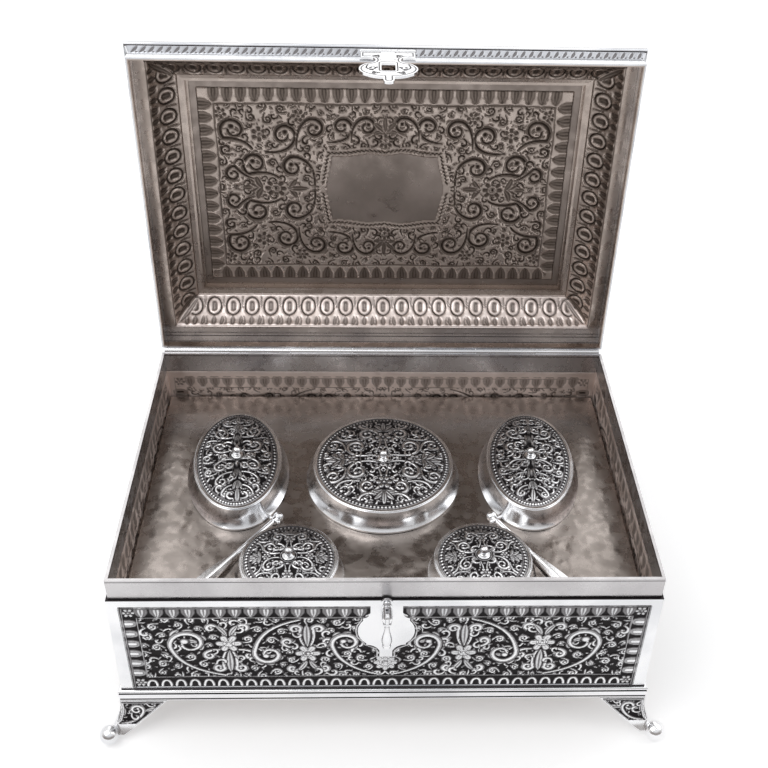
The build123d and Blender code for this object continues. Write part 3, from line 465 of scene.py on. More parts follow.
def raiseSheet(name, mesh, points, relief, body, finish, facing, weld=0.0):
    # moves a grid's points into place; facing is a direction that its front looks along
    mesh.name = name
    mesh.vertices.foreach_set("co", (np.asarray(points) * mm).astype(np.float32).ravel())
    mesh.update()
    layer = mesh.attributes.new("relief", "FLOAT", "POINT")
    layer.data.foreach_set("value", np.clip(relief, 0, 1).astype(np.float32))
    mesh.polygons.foreach_set("use_smooth", [True] * len(mesh.polygons))
    normals = np.empty(len(mesh.polygons) * 3)
    mesh.polygons.foreach_get("normal", normals)
    flip = (normals.reshape(-1, 3) @ np.array(facing)).mean() < 0
    if flip or weld:
        bm = bmesh.new()
        bm.from_mesh(mesh)
        if weld:
            bmesh.ops.remove_doubles(bm, verts=bm.verts, dist=weld * mm)
        if flip:
            bmesh.ops.reverse_faces(bm, faces=bm.faces)
        bm.to_mesh(mesh)
        bm.free()
    mesh.materials.append(finishes[finish])
    piece = bpy.data.objects.new(name, mesh)
    bpy.context.scene.collection.objects.link(piece)
    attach(piece, body)
    return piece


def handWobble(x, y, amount=0.35):
    # what the hand does to a drawn pattern, so that mirrored halves differ
    return (
        x + amount * np.sin(x * 0.071 + y * 0.113 + 1.3),
        y + amount * np.sin(x * 0.097 - y * 0.061 + 4.1),
    )


def gridEdge(u, v):
    return (u < 0.001) | (u > 0.999) | (v < 0.001) | (v > 0.999)


sides = {"front": 0, "right": 90, "back": 180, "left": 270}


def turned(turn, x, out):
    # x and y of a point that is x along a side and out from the middle
    c, s = math.cos(math.radians(turn)), math.sin(math.radians(turn))
    return x * c + out * s, x * s - out * c


def sideSpans(turn, plan):
    # half the length of a side, and how far it stands from the middle
    along, away = plan["width"] / 2, plan["depth"] / 2
    return (along, away) if turn % 180 == 0 else (away, along)


# Chased side panels
boxPlan = {
    "width": 280.0,
    "depth": 187.6,
    "panelTop": 106.3,
    "panelHeight": 71.0,
    "leanTop": 1.15,
    "leanBottom": 2.3,
    "sideMargin": 4.1,
    "topMargin": 4.7,
    "bottomMargin": 1.0,
    "fieldDepth": 0.6,
}
friezePlan = {  # the raised forms of the panels, which the chasing dresses
    "pitch": 20.4,
    "end": 1.2,  # the last volute stands this many pitches from the row's end
    "sideBorder": 8.7,
    "topBorder": 9.0,
    "bottomBorder": 9.4,
    "levels": (-0.53, 0.15, -0.20, -0.22, 0.15, 0.16),  # shares of the row's half height, up
    "rib": 1.1,
    "radius": 8.4,
    "endRadius": 10.8,
    "start": 0.84,
    "flower": 6.4,
}
panelLook = {
    "step": 0.48,
    "relief": 0.80,
    "floor": 0.06,
    "wobble": 0.18,
    "stem": 1.25,
    "heart": 5.9,
    "heartPitch": 8.1,
    "lobe": 5.2,
    "lobePitch": 7.7,
    "arch": 4.6,
    "archPitch": 7.7,
    "cornerFlower": 3.1,
    "sink": 0.15,  # of the sheet's edges, into the field's floor
}
shieldHalf = [  # the plain shield's half width at each drop below the panel's top edge
    (0.0, 8.3), (10.7, 8.3), (12.4, 10.6), (14.1, 12.0), (15.9, 12.0), (20.0, 14.2), (24.0, 14.8),
    (29.0, 13.9), (33.7, 10.4), (34.9, 10.4), (37.6, 5.4), (39.9, 3.4), (44.7, 3.4), (44.8, 0.0),
]


def inShield(x, drop):
    half = np.interp(drop, [d for d, _ in shieldHalf], [w for _, w in shieldHalf])
    return np.abs(x) < half


def friezeRow(span):
    # the row's pitch, its count of forms, its middle and its half height, as the panel has them
    plan, rows = boxPlan, friezePlan
    half = span - plan["sideMargin"] - rows["sideBorder"]
    top = -plan["topMargin"] - rows["topBorder"]
    bottom = plan["bottomMargin"] + rows["bottomBorder"] - plan["panelHeight"]
    count = 2 * round((half / rows["pitch"] - rows["end"] + 1) / 2)
    return half / (count - 1 + rows["end"]), count, (top + bottom) / 2, (top - bottom) / 2


def friezeForms(sheet, span):
    # half of the frieze: volutes and flowers take turns outwards from the middle flower
    rows = friezePlan
    pitch, count, middle, rise = friezeRow(span)
    for n in range(count):
        last = n == count - 1
        x, y = n * pitch, middle + rise * rows["levels"][-1 if last else n]
        if n % 2 == 0:
            rosette(sheet, x, y, rows["flower"], 6 if n else 8)
            continue
        up = 1 if n % 4 == 1 else -1
        start = ((n - rows["start"]) * pitch, middle - up * (rise - rows["rib"]))
        radius = rows["endRadius" if last else "radius"]
        tendril(sheet, start, (x, y), radius, up, 0.3, 1.2, panelLook["stem"], 4)


crownScrolls = [  # start, centre, radius, hand, bend, width, lobes, to the right of the flower
    ((1.4, 6.0), (6.0, 19.5), 3.4, -1, -0.2, 1.1, 1),
    ((3.6, 5.0), (10.2, 9.6), 3.2, 1, 0.25, 1.1, 2),
    ((2.4, -5.4), (8.6, -12.2), 3.0, 1, 0.25, 1.05, 2),
]


def crownLeaves(sheet, x, y, up):
    # what stands on a flower: a tall leaf, two curls beside it, and scrolls at its shoulders
    for side in (-1, 1):
        for (ax, ay), (bx, by), radius, hand, bend, width, lobes in crownScrolls:
            start, centre = (x + side * ax, y + up * ay), (x + side * bx, y + up * by)
            tendril(sheet, start, centre, radius, hand * side * up, bend, 1.05, width, lobes)
        heading = -up * (math.pi / 2 - side * 0.25)
        leaf(sheet, (x + side * 0.8, y - up * 6.0), heading, 9.5, 1.6, side * up * 0.5)
    leaf(sheet, (x, y + up * 6.0), up * math.pi / 2, 17.0, 2.1)


def chasedPanel(side, turn):
    plan, rows, look = boxPlan, friezePlan, panelLook
    span, reach = sideSpans(turn, plan)
    half = span - plan["sideMargin"]
    top, bottom = plan["topMargin"], plan["panelHeight"] - plan["bottomMargin"]
    columns = round(2 * half / look["step"])
    mesh, u, v = gridPoints(columns, round((bottom - top) / look["step"]))
    x, drop = (u * 2 - 1) * half, bottom - v * (bottom - top)
    wx, wy = handWobble(x, -drop, look["wobble"])
    ends = np.clip(np.minimum(half - np.abs(x), np.minimum(drop - top, bottom - drop)) / 6, 0, 1)
    sheet = Chasing(np.abs(x + (wx - x) * ends), -drop + (wy + drop) * ends)
    innerTop, innerBottom = top + rows["topBorder"], bottom - rows["bottomBorder"]
    innerHalf = half - rows["sideBorder"]
    pitch, count, middle, rise = friezeRow(span)
    for n in range(2, count, 2):
        crownLeaves(sheet, n * pitch, middle + rise * rows["levels"][n], 1 if n % 4 == 2 else -1)
    friezeForms(sheet, span)

    def bare(px, py):
        ok = (px > 0) & (px < innerHalf - 0.6) & (-py > innerTop + 0.6) & (-py < innerBottom - 0.6)
        return ok & ~inShield(px * 0.92, -py) if side == "front" else ok

    shield = inShield(sheet.x, -sheet.y) if side == "front" else np.zeros(len(x), bool)
    sheet.h[shield] = 0
    placed = fillGround(sheet, bare, 0.95, 4.2)
    friezeForms(sheet, span)  # once more, so that no sprig cuts into them
    sheet.h[shield] = 0
    if side == "front":
        outline = [(w + 1.1, -d) for d, w in shieldHalf if d >= top]
        sheet.stroke(outline, [0.55] * len(outline), 0.85)
    outside = (sheet.x > innerHalf) | (-sheet.y < innerTop) | (-sheet.y > innerBottom)
    sheet.h[outside] = 0
    edge, foot, head = innerHalf + 1.5, -bottom + 2.0, -top - 2.2
    neck = 9.6 if side == "front" else 0
    for shape, start, end in (
        ("heart", (edge, head), (neck, head)),
        ("arch", (0, foot), (edge, foot)),
        ("lobe", (half - 2.3, foot + 7), (half - 2.3, head - 7)),
    ):
        tongueRow(sheet, start, end, look[shape], look[shape + "Pitch"], shape)
    rosette(sheet, half - 4.9, head - 2.6, look["cornerFlower"])
    rosette(sheet, half - 4.9, foot + 2.8, look["cornerFlower"])
    for inset, width in ((0.55, 0.36), (1.6, 0.34)):
        sheet.line((0, -top - inset), (half - inset, -top - inset), width)
        sheet.line((half - inset, -top - inset), (half - inset, -bottom + 0.3), width)
    sheet.line((0, -innerTop + 0.2), (innerHalf, -innerTop + 0.2), 0.4)
    sheet.line((0, -innerBottom - 0.2), (innerHalf, -innerBottom - 0.2), 0.4)
    sheet.line((innerHalf, -innerTop), (innerHalf, -innerBottom), 0.4)
    relief = sheet.h.copy()
    rim = (half - np.abs(x) < 0.01) | (drop - top < 0.01) | (bottom - drop < 0.01)
    lift = -plan["fieldDepth"] + look["floor"] + relief * look["relief"]
    lift[rim] = -plan["fieldDepth"] - look["sink"]
    if side == "front":
        under = inShield(np.abs(x) + 0.4, drop)
        lift[under] = -plan["fieldDepth"] - look["sink"]
    lean = plan["leanTop"] + (plan["leanBottom"] - plan["leanTop"]) * drop / plan["panelHeight"]
    points = np.stack([*turned(turn, x, reach + lean + lift), plan["panelTop"] - drop], 1)
    facing = (*turned(turn, 0, 1), 0)
    raiseSheet(f"{side}Chasing", mesh, points, relief, "box", "chased", facing)
    reverseOfPanel(side, turn, half, top, bottom, relief.reshape(-1, columns + 1))
    print(side, "panel chased, with", placed, "sprigs")


def sampled(table, u, v):
    # reads a table of heights at shares u across and v up
    rows, columns = table.shape
    fx, fy = np.clip(u, 0, 1) * (columns - 1), np.clip(v, 0, 1) * (rows - 1)
    ix, iy = np.minimum(fx.astype(int), columns - 2), np.minimum(fy.astype(int), rows - 2)
    tx, ty = fx - ix, fy - iy
    low = table[iy, ix] * (1 - tx) + table[iy, ix + 1] * tx
    high = table[iy + 1, ix] * (1 - tx) + table[iy + 1, ix + 1] * tx
    return low * (1 - ty) + high * ty


reverseLook = {
    "step": 0.75,
    "proud": 0.44,
    "floor": 0.03,
    "innerX": 139.2,
    "innerY": 93.0,
    "sideGap": 0.4,
    "topGap": 0.3,
    "bottom": 69.4,  # below the panel's top edge, just above the floor plate
}


def reverseOfPanel(side, turn, half, top, bottom, table):
    # the inside of a panel shows the back of the chasing: every raised form is a hollow
    look = reverseLook
    alongX = turn % 180 == 0
    wide = (look["innerX"] if alongX else look["innerY"]) - look["sideGap"]
    reach = look["innerY"] if alongX else look["innerX"]
    height = look["bottom"] - look["topGap"]
    mesh, u, v = gridPoints(round(2 * wide / look["step"]), round(height / look["step"]))
    x, drop = (u * 2 - 1) * wide, look["bottom"] - v * height
    across, upward = (x + half) / (2 * half), (bottom - drop) / (bottom - top)
    onField = (across > 0) & (across < 1) & (upward > 0) & (upward < 1)
    hollow = np.where(onField, sampled(table, across, upward), 0.0)
    lift = look["floor"] + look["proud"] * (1 - hollow)
    lift[gridEdge(u, v)] = -0.05
    points = np.stack([*turned(turn, x, reach - lift), boxPlan["panelTop"] - drop], 1)
    facing = (*turned(turn, 0, -1), 0)
    raiseSheet(f"{side}Reverse", mesh, points, 1 - hollow, "box", "wallAndLitCoveChased", facing)


for side, turn in sides.items():
    chasedPanel(side, turn)


# Lid
lidPlan = {
    "width": 280.4,
    "depth": 187.8,
    "middle": -96.0,
    "top": 38.9,
    "panelWall": 1.8,
    "panelX": 115.6,
    "panelY": 69.3,
    "margin": 5.2,
    "fieldDepth": 0.4,
    "stripLow": 6.4,
    "stripHigh": 12.4,
    "stripInset": 0.3,
    "stripFlare": 2.2,
}
lidLook = {
    "step": 0.58,
    "coveStep": 0.66,
    "relief": 0.72,
    "reverse": 0.85,
    "tongue": 7.4,
    "tonguePitch": 7.9,
    "eggPitch": 12.7,
}
cartouche = [  # half height of the plain shield at each distance from its middle
    (0.0, 22.4), (4.0, 22.9), (9.0, 23.6), (15.0, 22.9), (21.0, 21.7), (27.0, 21.1), (32.0, 21.2),
    (33.2, 15.5), (34.0, 10.9), (35.2, 5.5), (36.0, 0.0),
]


def lidPoints(x, y, z):
    # from the closed lid's own axes, origin on the hinge line, to the open lid's place
    c, s = math.cos(lidOpen), math.sin(lidOpen)
    return np.stack([x, hingeY + y * c + z * s, hingeZ - y * s + z * c], 1)


def lidDirection(x, y, z):
    c, s = math.cos(lidOpen), math.sin(lidOpen)
    return (x, y * c + z * s, -y * s + z * c)


def inCartouche(x, y, grow=0.0):
    half = np.interp(np.abs(x), [a + grow for a, _ in cartouche], [b + grow for _, b in cartouche], right=-1)
    return np.abs(y) < half


lidForms = {  # a quarter of the lid's field, which the other quarters mirror
    "scrolls": [  # start, centre, radius, hand, bend, turns, lobes
        ((43.0, 2.0), (55.5, 14.0), 7.6, -1, 0.35, 1.2, 4),
        ((64.0, 7.0), (78.5, 16.0), 8.6, 1, -0.3, 1.3, 4),
        ((72.5, 5.0), (92.0, 8.5), 5.6, -1, -0.25, 1.2, 3),
        ((72.0, 24.0), (61.0, 34.5), 8.2, -1, 0.3, 1.3, 4),
        ((80.0, 26.0), (90.5, 38.0), 8.6, 1, -0.3, 1.3, 4),
        ((53.0, 27.5), (42.5, 38.5), 7.2, 1, 0.25, 1.3, 4),
        ((34.0, 30.0), (25.5, 40.5), 6.8, -1, 0.3, 1.2, 3),
        ((20.0, 31.5), (10.5, 40.5), 6.2, 1, 0.3, 1.2, 3),
        ((92.0, 22.0), (95.5, 25.0), 3.6, 1, 0.2, 1.1, 2),
    ],
    "flowers": [  # x, y, radius, petals, turn
        (66.5, 0.0, 6.4, 8, 0.0), (75.5, 35.5, 4.6, 6, 0.5), (0.0, 31.5, 4.8, 8, 0.0),
        (51.8, 46.5, 3.8, 6, 0.0), (97.0, 48.5, 3.6, 6, 0.3),
    ],
}


def lidScrolls(sheet):
    for start, centre, radius, hand, bend, turns, lobes in lidForms["scrolls"]:
        tendril(sheet, start, centre, radius, hand, bend, turns, 0.75 + radius * 0.07, lobes)
    for x, y, radius, petals, turn in lidForms["flowers"]:
        rosette(sheet, x, y, radius, petals, turn)
    palmette(sheet, (0.0, 36.5), math.pi / 2, 10.5, 5, 1.2)
    palmette(sheet, (74.0, 0.0), 0.0, 13.0, 5, 0.7)
    palmette(sheet, (59.0, 0.0), math.pi, 12.0, 3, 0.5)


def beadShield(sheet, gap, length, pitch):
    # slanting beads in a row round the plain shield, a gap outside its edge
    edge = [(x + gap * x / cartouche[-1][0], y + gap) for x, y in cartouche]
    walked, due = 0.0, pitch / 2
    for a, b in zip(edge[:-1], edge[1:]):
        run = math.dist(a, b)
        heading = math.atan2(b[1] - a[1], b[0] - a[0])
        while due <= walked + run:
            share = (due - walked) / run
            at = (a[0] + (b[0] - a[0]) * share, a[1] + (b[1] - a[1]) * share)
            ends = [polar(at, -length / 2, heading + 0.5), polar(at, length / 2, heading + 0.5)]
            sheet.stroke(ends, [0.62, 0.62], 1.0, edge=0.2)
            due += pitch
        walked += run


def chasedLid():
    plan, look = lidPlan, lidLook
    halfX, halfY = plan["panelX"] - plan["margin"], plan["panelY"] - plan["margin"]
    columns, rows = round(2 * halfX / look["step"]), round(2 * halfY / look["step"])
    mesh, u, v = gridPoints(columns, rows)
    x, y = (u * 2 - 1) * halfX, (v * 2 - 1) * halfY
    wx, wy = handWobble(x, y)
    ends = np.clip(np.minimum(halfX - np.abs(x), halfY - np.abs(y)) / 6, 0, 1)
    sheet = Chasing(np.abs(x + (wx - x) * ends), np.abs(y + (wy - y) * ends))
    border = 1.2 + look["tongue"] + 1.4
    innerX, innerY = halfX - border, halfY - border
    lidScrolls(sheet)

    def bare(px, py):
        return (px > 0) & (py > 0) & (px < innerX - 0.5) & (py < innerY - 0.5) & ~inCartouche(px, py, 4.4)

    placed = fillGround(sheet, bare, 0.95, 4.4)
    plain = inCartouche(sheet.x, sheet.y, 4.2)
    sheet.h[plain] = 0
    sheet.h[(sheet.x > innerX) | (sheet.y > innerY)] = 0
    beadShield(sheet, 2.1, 1.9, 2.5)
    for start, end in (
        ((0, halfY - 1.2), (innerX + 4, halfY - 1.2)), ((halfX - 1.2, innerY + 4), (halfX - 1.2, 0)),
    ):
        tongueRow(sheet, start, end, -look["tongue"], look["tonguePitch"], "heart")
    sheet.line((0, innerY + 0.1), (innerX, innerY + 0.1), 0.5)
    sheet.line((innerX + 0.1, innerY), (innerX + 0.1, 0), 0.5)
    plate = inCartouche(sheet.x, sheet.y, 0.0)
    sheet.h[plate] = 0.62
    relief = sheet.h
    rim = gridEdge(u, v)
    lift = plan["top"] - plan["fieldDepth"] + 0.06 + relief * look["relief"]
    lift[rim] = plan["top"] - plan["fieldDepth"] - 0.1
    points = lidPoints(x, y + plan["middle"], lift)
    shade = np.where(plate, 1.0, relief)
    raiseSheet("lidChasing", mesh, points, shade, "lid", "chased", lidDirection(0, 0, 1))

    inner = gridPoints(columns, rows)[0]
    under = plan["top"] - plan["panelWall"] + plan["fieldDepth"] - 0.05
    depth = under - look["reverse"] * (1 - relief)
    depth[rim] = under + 0.2
    points = lidPoints(x, y + plan["middle"], depth)
    shade = np.where(plate, 0.40, 1 - relief)
    facing = lidDirection(0, 0, -1)
    raiseSheet("lidReverse", inner, points, shade, "lid", "insideChased", facing)
    print("lid chased, with", placed, "sprigs")


chasedLid()

coveArc = {  # inset from the lid's outer face and height: foot, middle and head of the curve
    "outer": ((5.7, 15.5), (11.35, 25.8), (20.0, 33.1)),
    "inner": ((6.66, 14.3), (12.31, 24.84), (20.96, 31.9)),
}


def arcThrough(a, b, c, share):
    # points and outward normals at a share of the way round the arc through three points, and its length
    (ax, ay), (bx, by), (cx, cy) = a, b, c
    d = 2 * (ax * (by - cy) + bx * (cy - ay) + cx * (ay - by))
    qa, qb, qc = ax * ax + ay * ay, bx * bx + by * by, cx * cx + cy * cy
    ox = (qa * (by - cy) + qb * (cy - ay) + qc * (ay - by)) / d
    oy = (qa * (cx - bx) + qb * (ax - cx) + qc * (bx - ax)) / d
    first, last = math.atan2(ay - oy, ax - ox), math.atan2(cy - oy, cx - ox)
    angle = first + (last - first) * share
    radius = math.hypot(ax - ox, ay - oy)
    nx, ny = np.cos(angle), np.sin(angle)
    return ox + radius * nx, oy + radius * ny, nx, ny, radius * abs(last - first)


def eggAndLeaf(sheet, x, pitch, length):
    high, across, along = length * 0.64, pitch * 0.37, length * 0.25
    sheet.stroke(ring((x, high), across, along, 20), [0.8] * 21)
    sheet.stroke([(x, high - along * 0.3), (x, high + along * 0.3)], [pitch * 0.16] * 2, vein=0.3)
    down = -math.pi / 2
    leaf(sheet, (x, length * 0.34), down, length * 0.26, pitch * 0.16)
    for side in (-1, 1):
        hook = (x + side * pitch * 0.42, length * 0.36)
        leaf(sheet, hook, down + side * 0.25, length * 0.30, pitch * 0.13, -side * 0.6)
        leaf(sheet, (x + side * pitch * 0.5, length * 0.93), down, length * 0.34, pitch * 0.07)


def coveSheets():
    plan, look = lidPlan, lidLook
    for side, turn in sides.items():
        half, reach = sideSpans(turn, plan)
        for face, outward in (("outer", 1), ("inner", -1)):
            length = arcThrough(*coveArc[face], np.zeros(1))[4]
            columns, rows = round(2 * half / look["coveStep"]), round(length / look["coveStep"])
            mesh, u, v = gridPoints(columns, rows)
            inset, height, nx, ny, _ = arcThrough(*coveArc[face], v)
            x = (u * 2 - 1) * (half - inset - 0.05)
            sheet = Chasing(np.abs(x), v * length)
            count = round((half - 12) / look["eggPitch"] - 0.5)
            pitch = (half - 13) / (count + 0.5)
            for i in range(count + 1):
                eggAndLeaf(sheet, i * pitch, pitch, length)
            leaf(sheet, (half - 21.0, length * 0.9), -1.0, length * 0.9, pitch * 0.13)
            sheet.line((0, length - 0.9), (half, length - 0.9), 0.4)
            sheet.line((0, 0.9), (half, 0.9), 0.45)
            if outward > 0:
                shade, slotName, finish = sheet.h, "silver_chased", "chased"
                lift = 0.04 + shade * look["relief"]
            else:
                shade, slotName = 1 - sheet.h, "silver_inside"
                # the back cove's inside faces up and catches the light, so it gets the walls' lighter
                # colours: painted light
                finish = "wallAndLitCoveChased" if side == "back" else "insideChased"
                lift = 0.04 + look["reverse"] * shade
            lift[gridEdge(u, v)] = -0.05
            inset, height = inset + nx * lift * outward, height + ny * lift * outward
            across, ahead = turned(turn, x, reach - inset)
            points = lidPoints(across, ahead + plan["middle"], height)
            facing = lidDirection(*turned(turn, 0, outward), outward)
            name = f"cove{side.title()}{face.title()}"
            raiseSheet(name, mesh, points, shade, "lid", finish, facing)


def wallStrips():
    # small slanting leaves in the groove round the lid's wall
    plan = lidPlan
    low, high = plan["stripLow"] + 0.1, plan["stripHigh"] - 0.1
    for side, turn in sides.items():
        span, reach = sideSpans(turn, plan)
        half = span - 0.6
        mesh, u, v = gridPoints(round(2 * half / 0.45), round((high - low) / 0.4))
        share = (low - plan["stripLow"] + v * (high - low)) / (plan["stripHigh"] - plan["stripLow"])
        flare = share * (plan["stripFlare"] + plan["stripInset"]) - plan["stripInset"]
        x, height = (u * 2 - 1) * (half + flare), low + v * (high - low)
        sheet = Chasing(x, height)
        count = round(2 * half / 4.6)
        for i in range(count):
            at = -half + (i + 0.3) * 2 * half / count
            leaf(sheet, (at, low + 0.7), 0.75, 5.2, 1.0, 0.5)
            sheet.ball(at + 2.9, low + 1.2, 0.6)
        lift = np.where(gridEdge(u, v), -0.1, 0.45 - sheet.h * 0.4)  # the leaves are sunk
        across, ahead = turned(turn, x, reach + flare + lift)
        points = lidPoints(across, ahead + plan["middle"], height)
        facing = lidDirection(*turned(turn, 0, 1), 0)
        name, shade = f"wallStrip{side.title()}", 1 - 0.8 * sheet.h
        raiseSheet(name, mesh, points, shade, "lid", "edgeChased", facing)


coveSheets()
wallStrips()
print("coves and wall strips chased")


# Feet and hasp
def dressFace(title, nodeName, columns, origins, ahead, steep, draw, lifts, body):
    # a sheet on the face that rays from the origins strike, sunk into it along its edges
    solid = frame["nodes"][nodeName]
    corners = [solid.matrix_world @ v.co for v in solid.data.vertices]
    tree = BVHTree.FromPolygons(corners, [tuple(p.vertices) for p in solid.data.polygons])
    mesh = gridPoints(columns, len(origins) // (columns + 1) - 1)[0]
    ahead = Vector(ahead)
    hits = [tree.ray_cast(Vector(spot), ahead) for spot in origins * mm]
    struck = np.array([hit[0] is not None and -hit[1].dot(ahead) > steep for hit in hits])
    places = np.array([hit[0] / mm if ok else spot for hit, ok, spot in zip(hits, struck, origins)])
    normals = np.array([hit[1] if ok else -ahead for hit, ok in zip(hits, struck)])
    table = np.pad(struck.reshape(-1, columns + 1), 1)
    core = np.ones((table.shape[0] - 2, table.shape[1] - 2), bool)
    for i in range(3):
        for j in range(3):
            core &= table[i:i + core.shape[0], j:j + core.shape[1]]
    relief = draw(struck)
    lift = np.where(core.ravel(), lifts[0] + relief * lifts[1], -0.15)
    points = places + normals * lift[:, None]
    piece = raiseSheet(title, mesh, points, relief, body, "chased", -ahead)
    bm = bmesh.new()
    bm.from_mesh(piece.data)
    bm.verts.ensure_lookup_table()
    missed = [bm.verts[int(i)] for i in np.nonzero(~struck)[0]]
    bmesh.ops.delete(bm, geom=missed, context="VERTS")
    bm.to_mesh(piece.data)
    bm.free()


footLook = {
    "step": 0.4,
    "low": 9.6,  # the ankle above the ball stays plain
    "high": 26.3,
    "wingReach": 48.0,
    "lifts": (0.05, 0.55),
}


def rayGrid(look, low, high):
    # the columns and rows of a grid of rays, and where each ray stands
    a = np.linspace(low, high, round((high - low) / look["step"]) + 1)
    z = np.linspace(look["low"], look["high"], round((look["high"] - look["low"]) / look["step"]) + 1)
    return a, z, np.tile(a, len(z)), np.repeat(z, len(a))


def chasedFoot(sx, sy, alongX):
    look = footLook
    far = boxPlan["width" if alongX else "depth"] / 2 + 18
    a, z, out, height = rayGrid(look, far - look["wingReach"], far)
    away = np.full(len(out), 200.0)
    origins = np.stack([out * sx, away * sy, height] if alongX else [away * sx, out * sy, height], 1)

    def draw(struck):
        rows = struck.reshape(len(z), -1)
        ends = [(a[row][0], a[row][-1]) if row.any() else (far, far) for row in rows]
        first, last = np.array(ends).T
        sheet = Chasing(out, height)

        def at(share, level):
            low, high = np.interp(level, z, first), np.interp(level, z, last)
            return low + (high - low) * share, level

        levels = np.linspace(look["low"], look["high"], 16)
        eye = at(0.56, 19.6)
        tendril(sheet, at(0.62, 10.5), eye, 4.3, -1, 0.3, 1.25, 0.95, 4)
        leaf(sheet, at(0.30, 18.5), 2.6, 7.5, 1.4, 0.6)
        leaf(sheet, at(0.86, 15.5), 1.7, 8.5, 1.3, -0.5)
        for share, nudge in ((0.0, 0.9), (1.0, -0.9)):
            edge = [(at(share, level)[0] + nudge, level) for level in levels]
            sheet.stroke(edge, [0.62] * len(edge), 0.9)
        sheet.line(at(0.0, look["high"] - 0.9), at(1.0, look["high"] - 0.9), 0.5)

        def bare(px, py):
            inner, outer = np.interp(py, z, first) + 1.8, np.interp(py, z, last) - 1.8
            return (px > inner) & (px < outer)

        fillGround(sheet, bare, 0.7, 2.4, 0.9)
        return sheet.h

    name = f"foot_{'front' if sy < 0 else 'back'}_{'left' if sx < 0 else 'right'}"
    title = name.replace("foot_", "footChasing_") + ("_long" if alongX else "_short")
    ahead = (0, -sy, 0) if alongX else (-sx, 0, 0)
    dressFace(title, name, len(a) - 1, origins, ahead, 0.3, draw, look["lifts"], "box")


haspLook = {
    "step": 0.28,
    "halfWidth": 17.0,
    "low": -40.5,
    "high": 4.6,
    "lifts": (0.01, 0.05),
    "line": 1.3,
    "lineWidth": 0.34,
    "scrolls": [  # start, centre, radius, hand
        ((2.4, -6.5), (8.6, -19.6), 3.2, -1),
        ((1.0, -30.5), (6.6, -27.2), 2.0, 1),
        ((6.4, -6.6), (6.2, -2.6), 2.0, 1),
    ],
}


def engravedHasp():
    look = haspLook
    x, _, across, height = rayGrid(look, -look["halfWidth"], look["halfWidth"])
    origins = lidPoints(across, np.full(len(across), -215.0), height)

    def draw(struck):
        sheet = Chasing(np.abs(across), height)
        for scroll in look["scrolls"]:
            tendril(sheet, *scroll, 0.25, 1.1, 0.42, 2)
        off = np.nonzero(~struck)[0]
        near = off[(np.abs(across[off]) < 17) & (height[off] < 4.4)]
        gap = np.full(len(across), 9.0)
        for start in range(0, len(across), 400):
            part = slice(start, start + 400)
            apart = np.hypot(across[part, None] - across[near], height[part, None] - height[near])
            gap[part] = apart.min(1)
        border = np.exp(-(((gap - look["line"]) / look["lineWidth"]) ** 2))
        inner = np.where(gap > look["line"] + 0.7, sheet.h, 0)
        return 1 - np.maximum(border, np.clip(inner * 1.4, 0, 0.95))

    ahead = lidDirection(0, 1, 0)
    dressFace("haspEngraving", "hasp_plate", len(x) - 1, origins, ahead, 0.97, draw, look["lifts"], "hasp")


bpy.context.view_layer.update()
for sx in (-1, 1):
    for sy in (-1, 1):
        chasedFoot(sx, sy, True)
        chasedFoot(sx, sy, False)
engravedHasp()
print("feet and hasp dressed")

# Pot covers
potPlan = {  # half width and half length of the ring, place, and turn
    "centre": (40.0, 40.0, -0.6, 14.5, 0.0),
    "left_oval": (24.5, 40.5, -86.5, 17.5, 5.0),
    "right_oval": (24.5, 40.5, 86.5, 17.0, -4.0),
    "left_round": (25.2, 25.2, -51.7, -61.4, 0.0),
    "right_round": (25.2, 25.2, 52.2, -61.0, 0.0),
}
coverLook = {
    "trayTop": 85.9,
    "ringHeight": 12.6,
    "ringBead": 0.9,
    "domeHeight": 3.4,
    "step": 0.5,
    "relief": 0.72,
    "floor": 0.12,
    "flatShare": 0.15,
    "edge": 4.6,  # width of the beaded border
    "bead": 0.85,
    "beadPitch": 2.15,
    "beadInset": 2.6,
    "lineInsets": (1.35, 4.0),
    "collar": 4.3,
}


def domeHeight(outset, narrow):
    # the dome's curve through the levels that the part is lofted from
    look = coverLook
    at = [-look["ringBead"], -narrow * 0.3, -narrow * 0.6, -narrow * 0.84]
    rises = [0.0, look["domeHeight"] * 0.56, look["domeHeight"] * 0.88, look["domeHeight"]]
    total = np.zeros(len(outset))
    for i, rise in enumerate(rises):
        term = np.full(len(outset), rise)
        for j in range(4):
            if j != i:
                term *= (outset - at[j]) / (at[i] - at[j])
        total += term
    return total


def roundScrolls(sheet, radius):
    # an eighth of a round cover, mirrored in both axes
    k = radius / 40.0
    for base, centre, size, hand, turns, lobes in (
        ((5.0, 3.0), (15.5, 10.5), 6.2, 1, 1.3, 4),
        ((3.0, 8.0), (9.5, 22.5), 5.6, -1, 1.3, 4),
        ((14.5, 18.5), (23.0, 24.0), 5.6, 1, 1.25, 4),
        ((22.0, 8.0), (29.5, 13.0), 5.0, -1, 1.25, 3),
        ((3.0, 29.0), (11.5, 32.5), 3.6, 1, 1.1, 3),
        ((29.0, 3.0), (34.0, 5.5), 2.6, 1, 1.0, 2),
    ):
        start, eye = (base[0] * k, base[1] * k), (centre[0] * k, centre[1] * k)
        tendril(sheet, start, eye, size * k, hand, 0.3, turns, 0.85 * k + 0.1, lobes)
    palmette(sheet, (0, 25.5 * k), math.pi / 2, 9.5 * k, 5, 1.0)
    palmette(sheet, (23.0 * k, 0), 0.0, 11.0 * k, 5, 0.9)
    rosette(sheet, 0, 19.5 * k, 4.4 * k, 6)
    rosette(sheet, 18.5 * k, 0, 3.6 * k, 6)


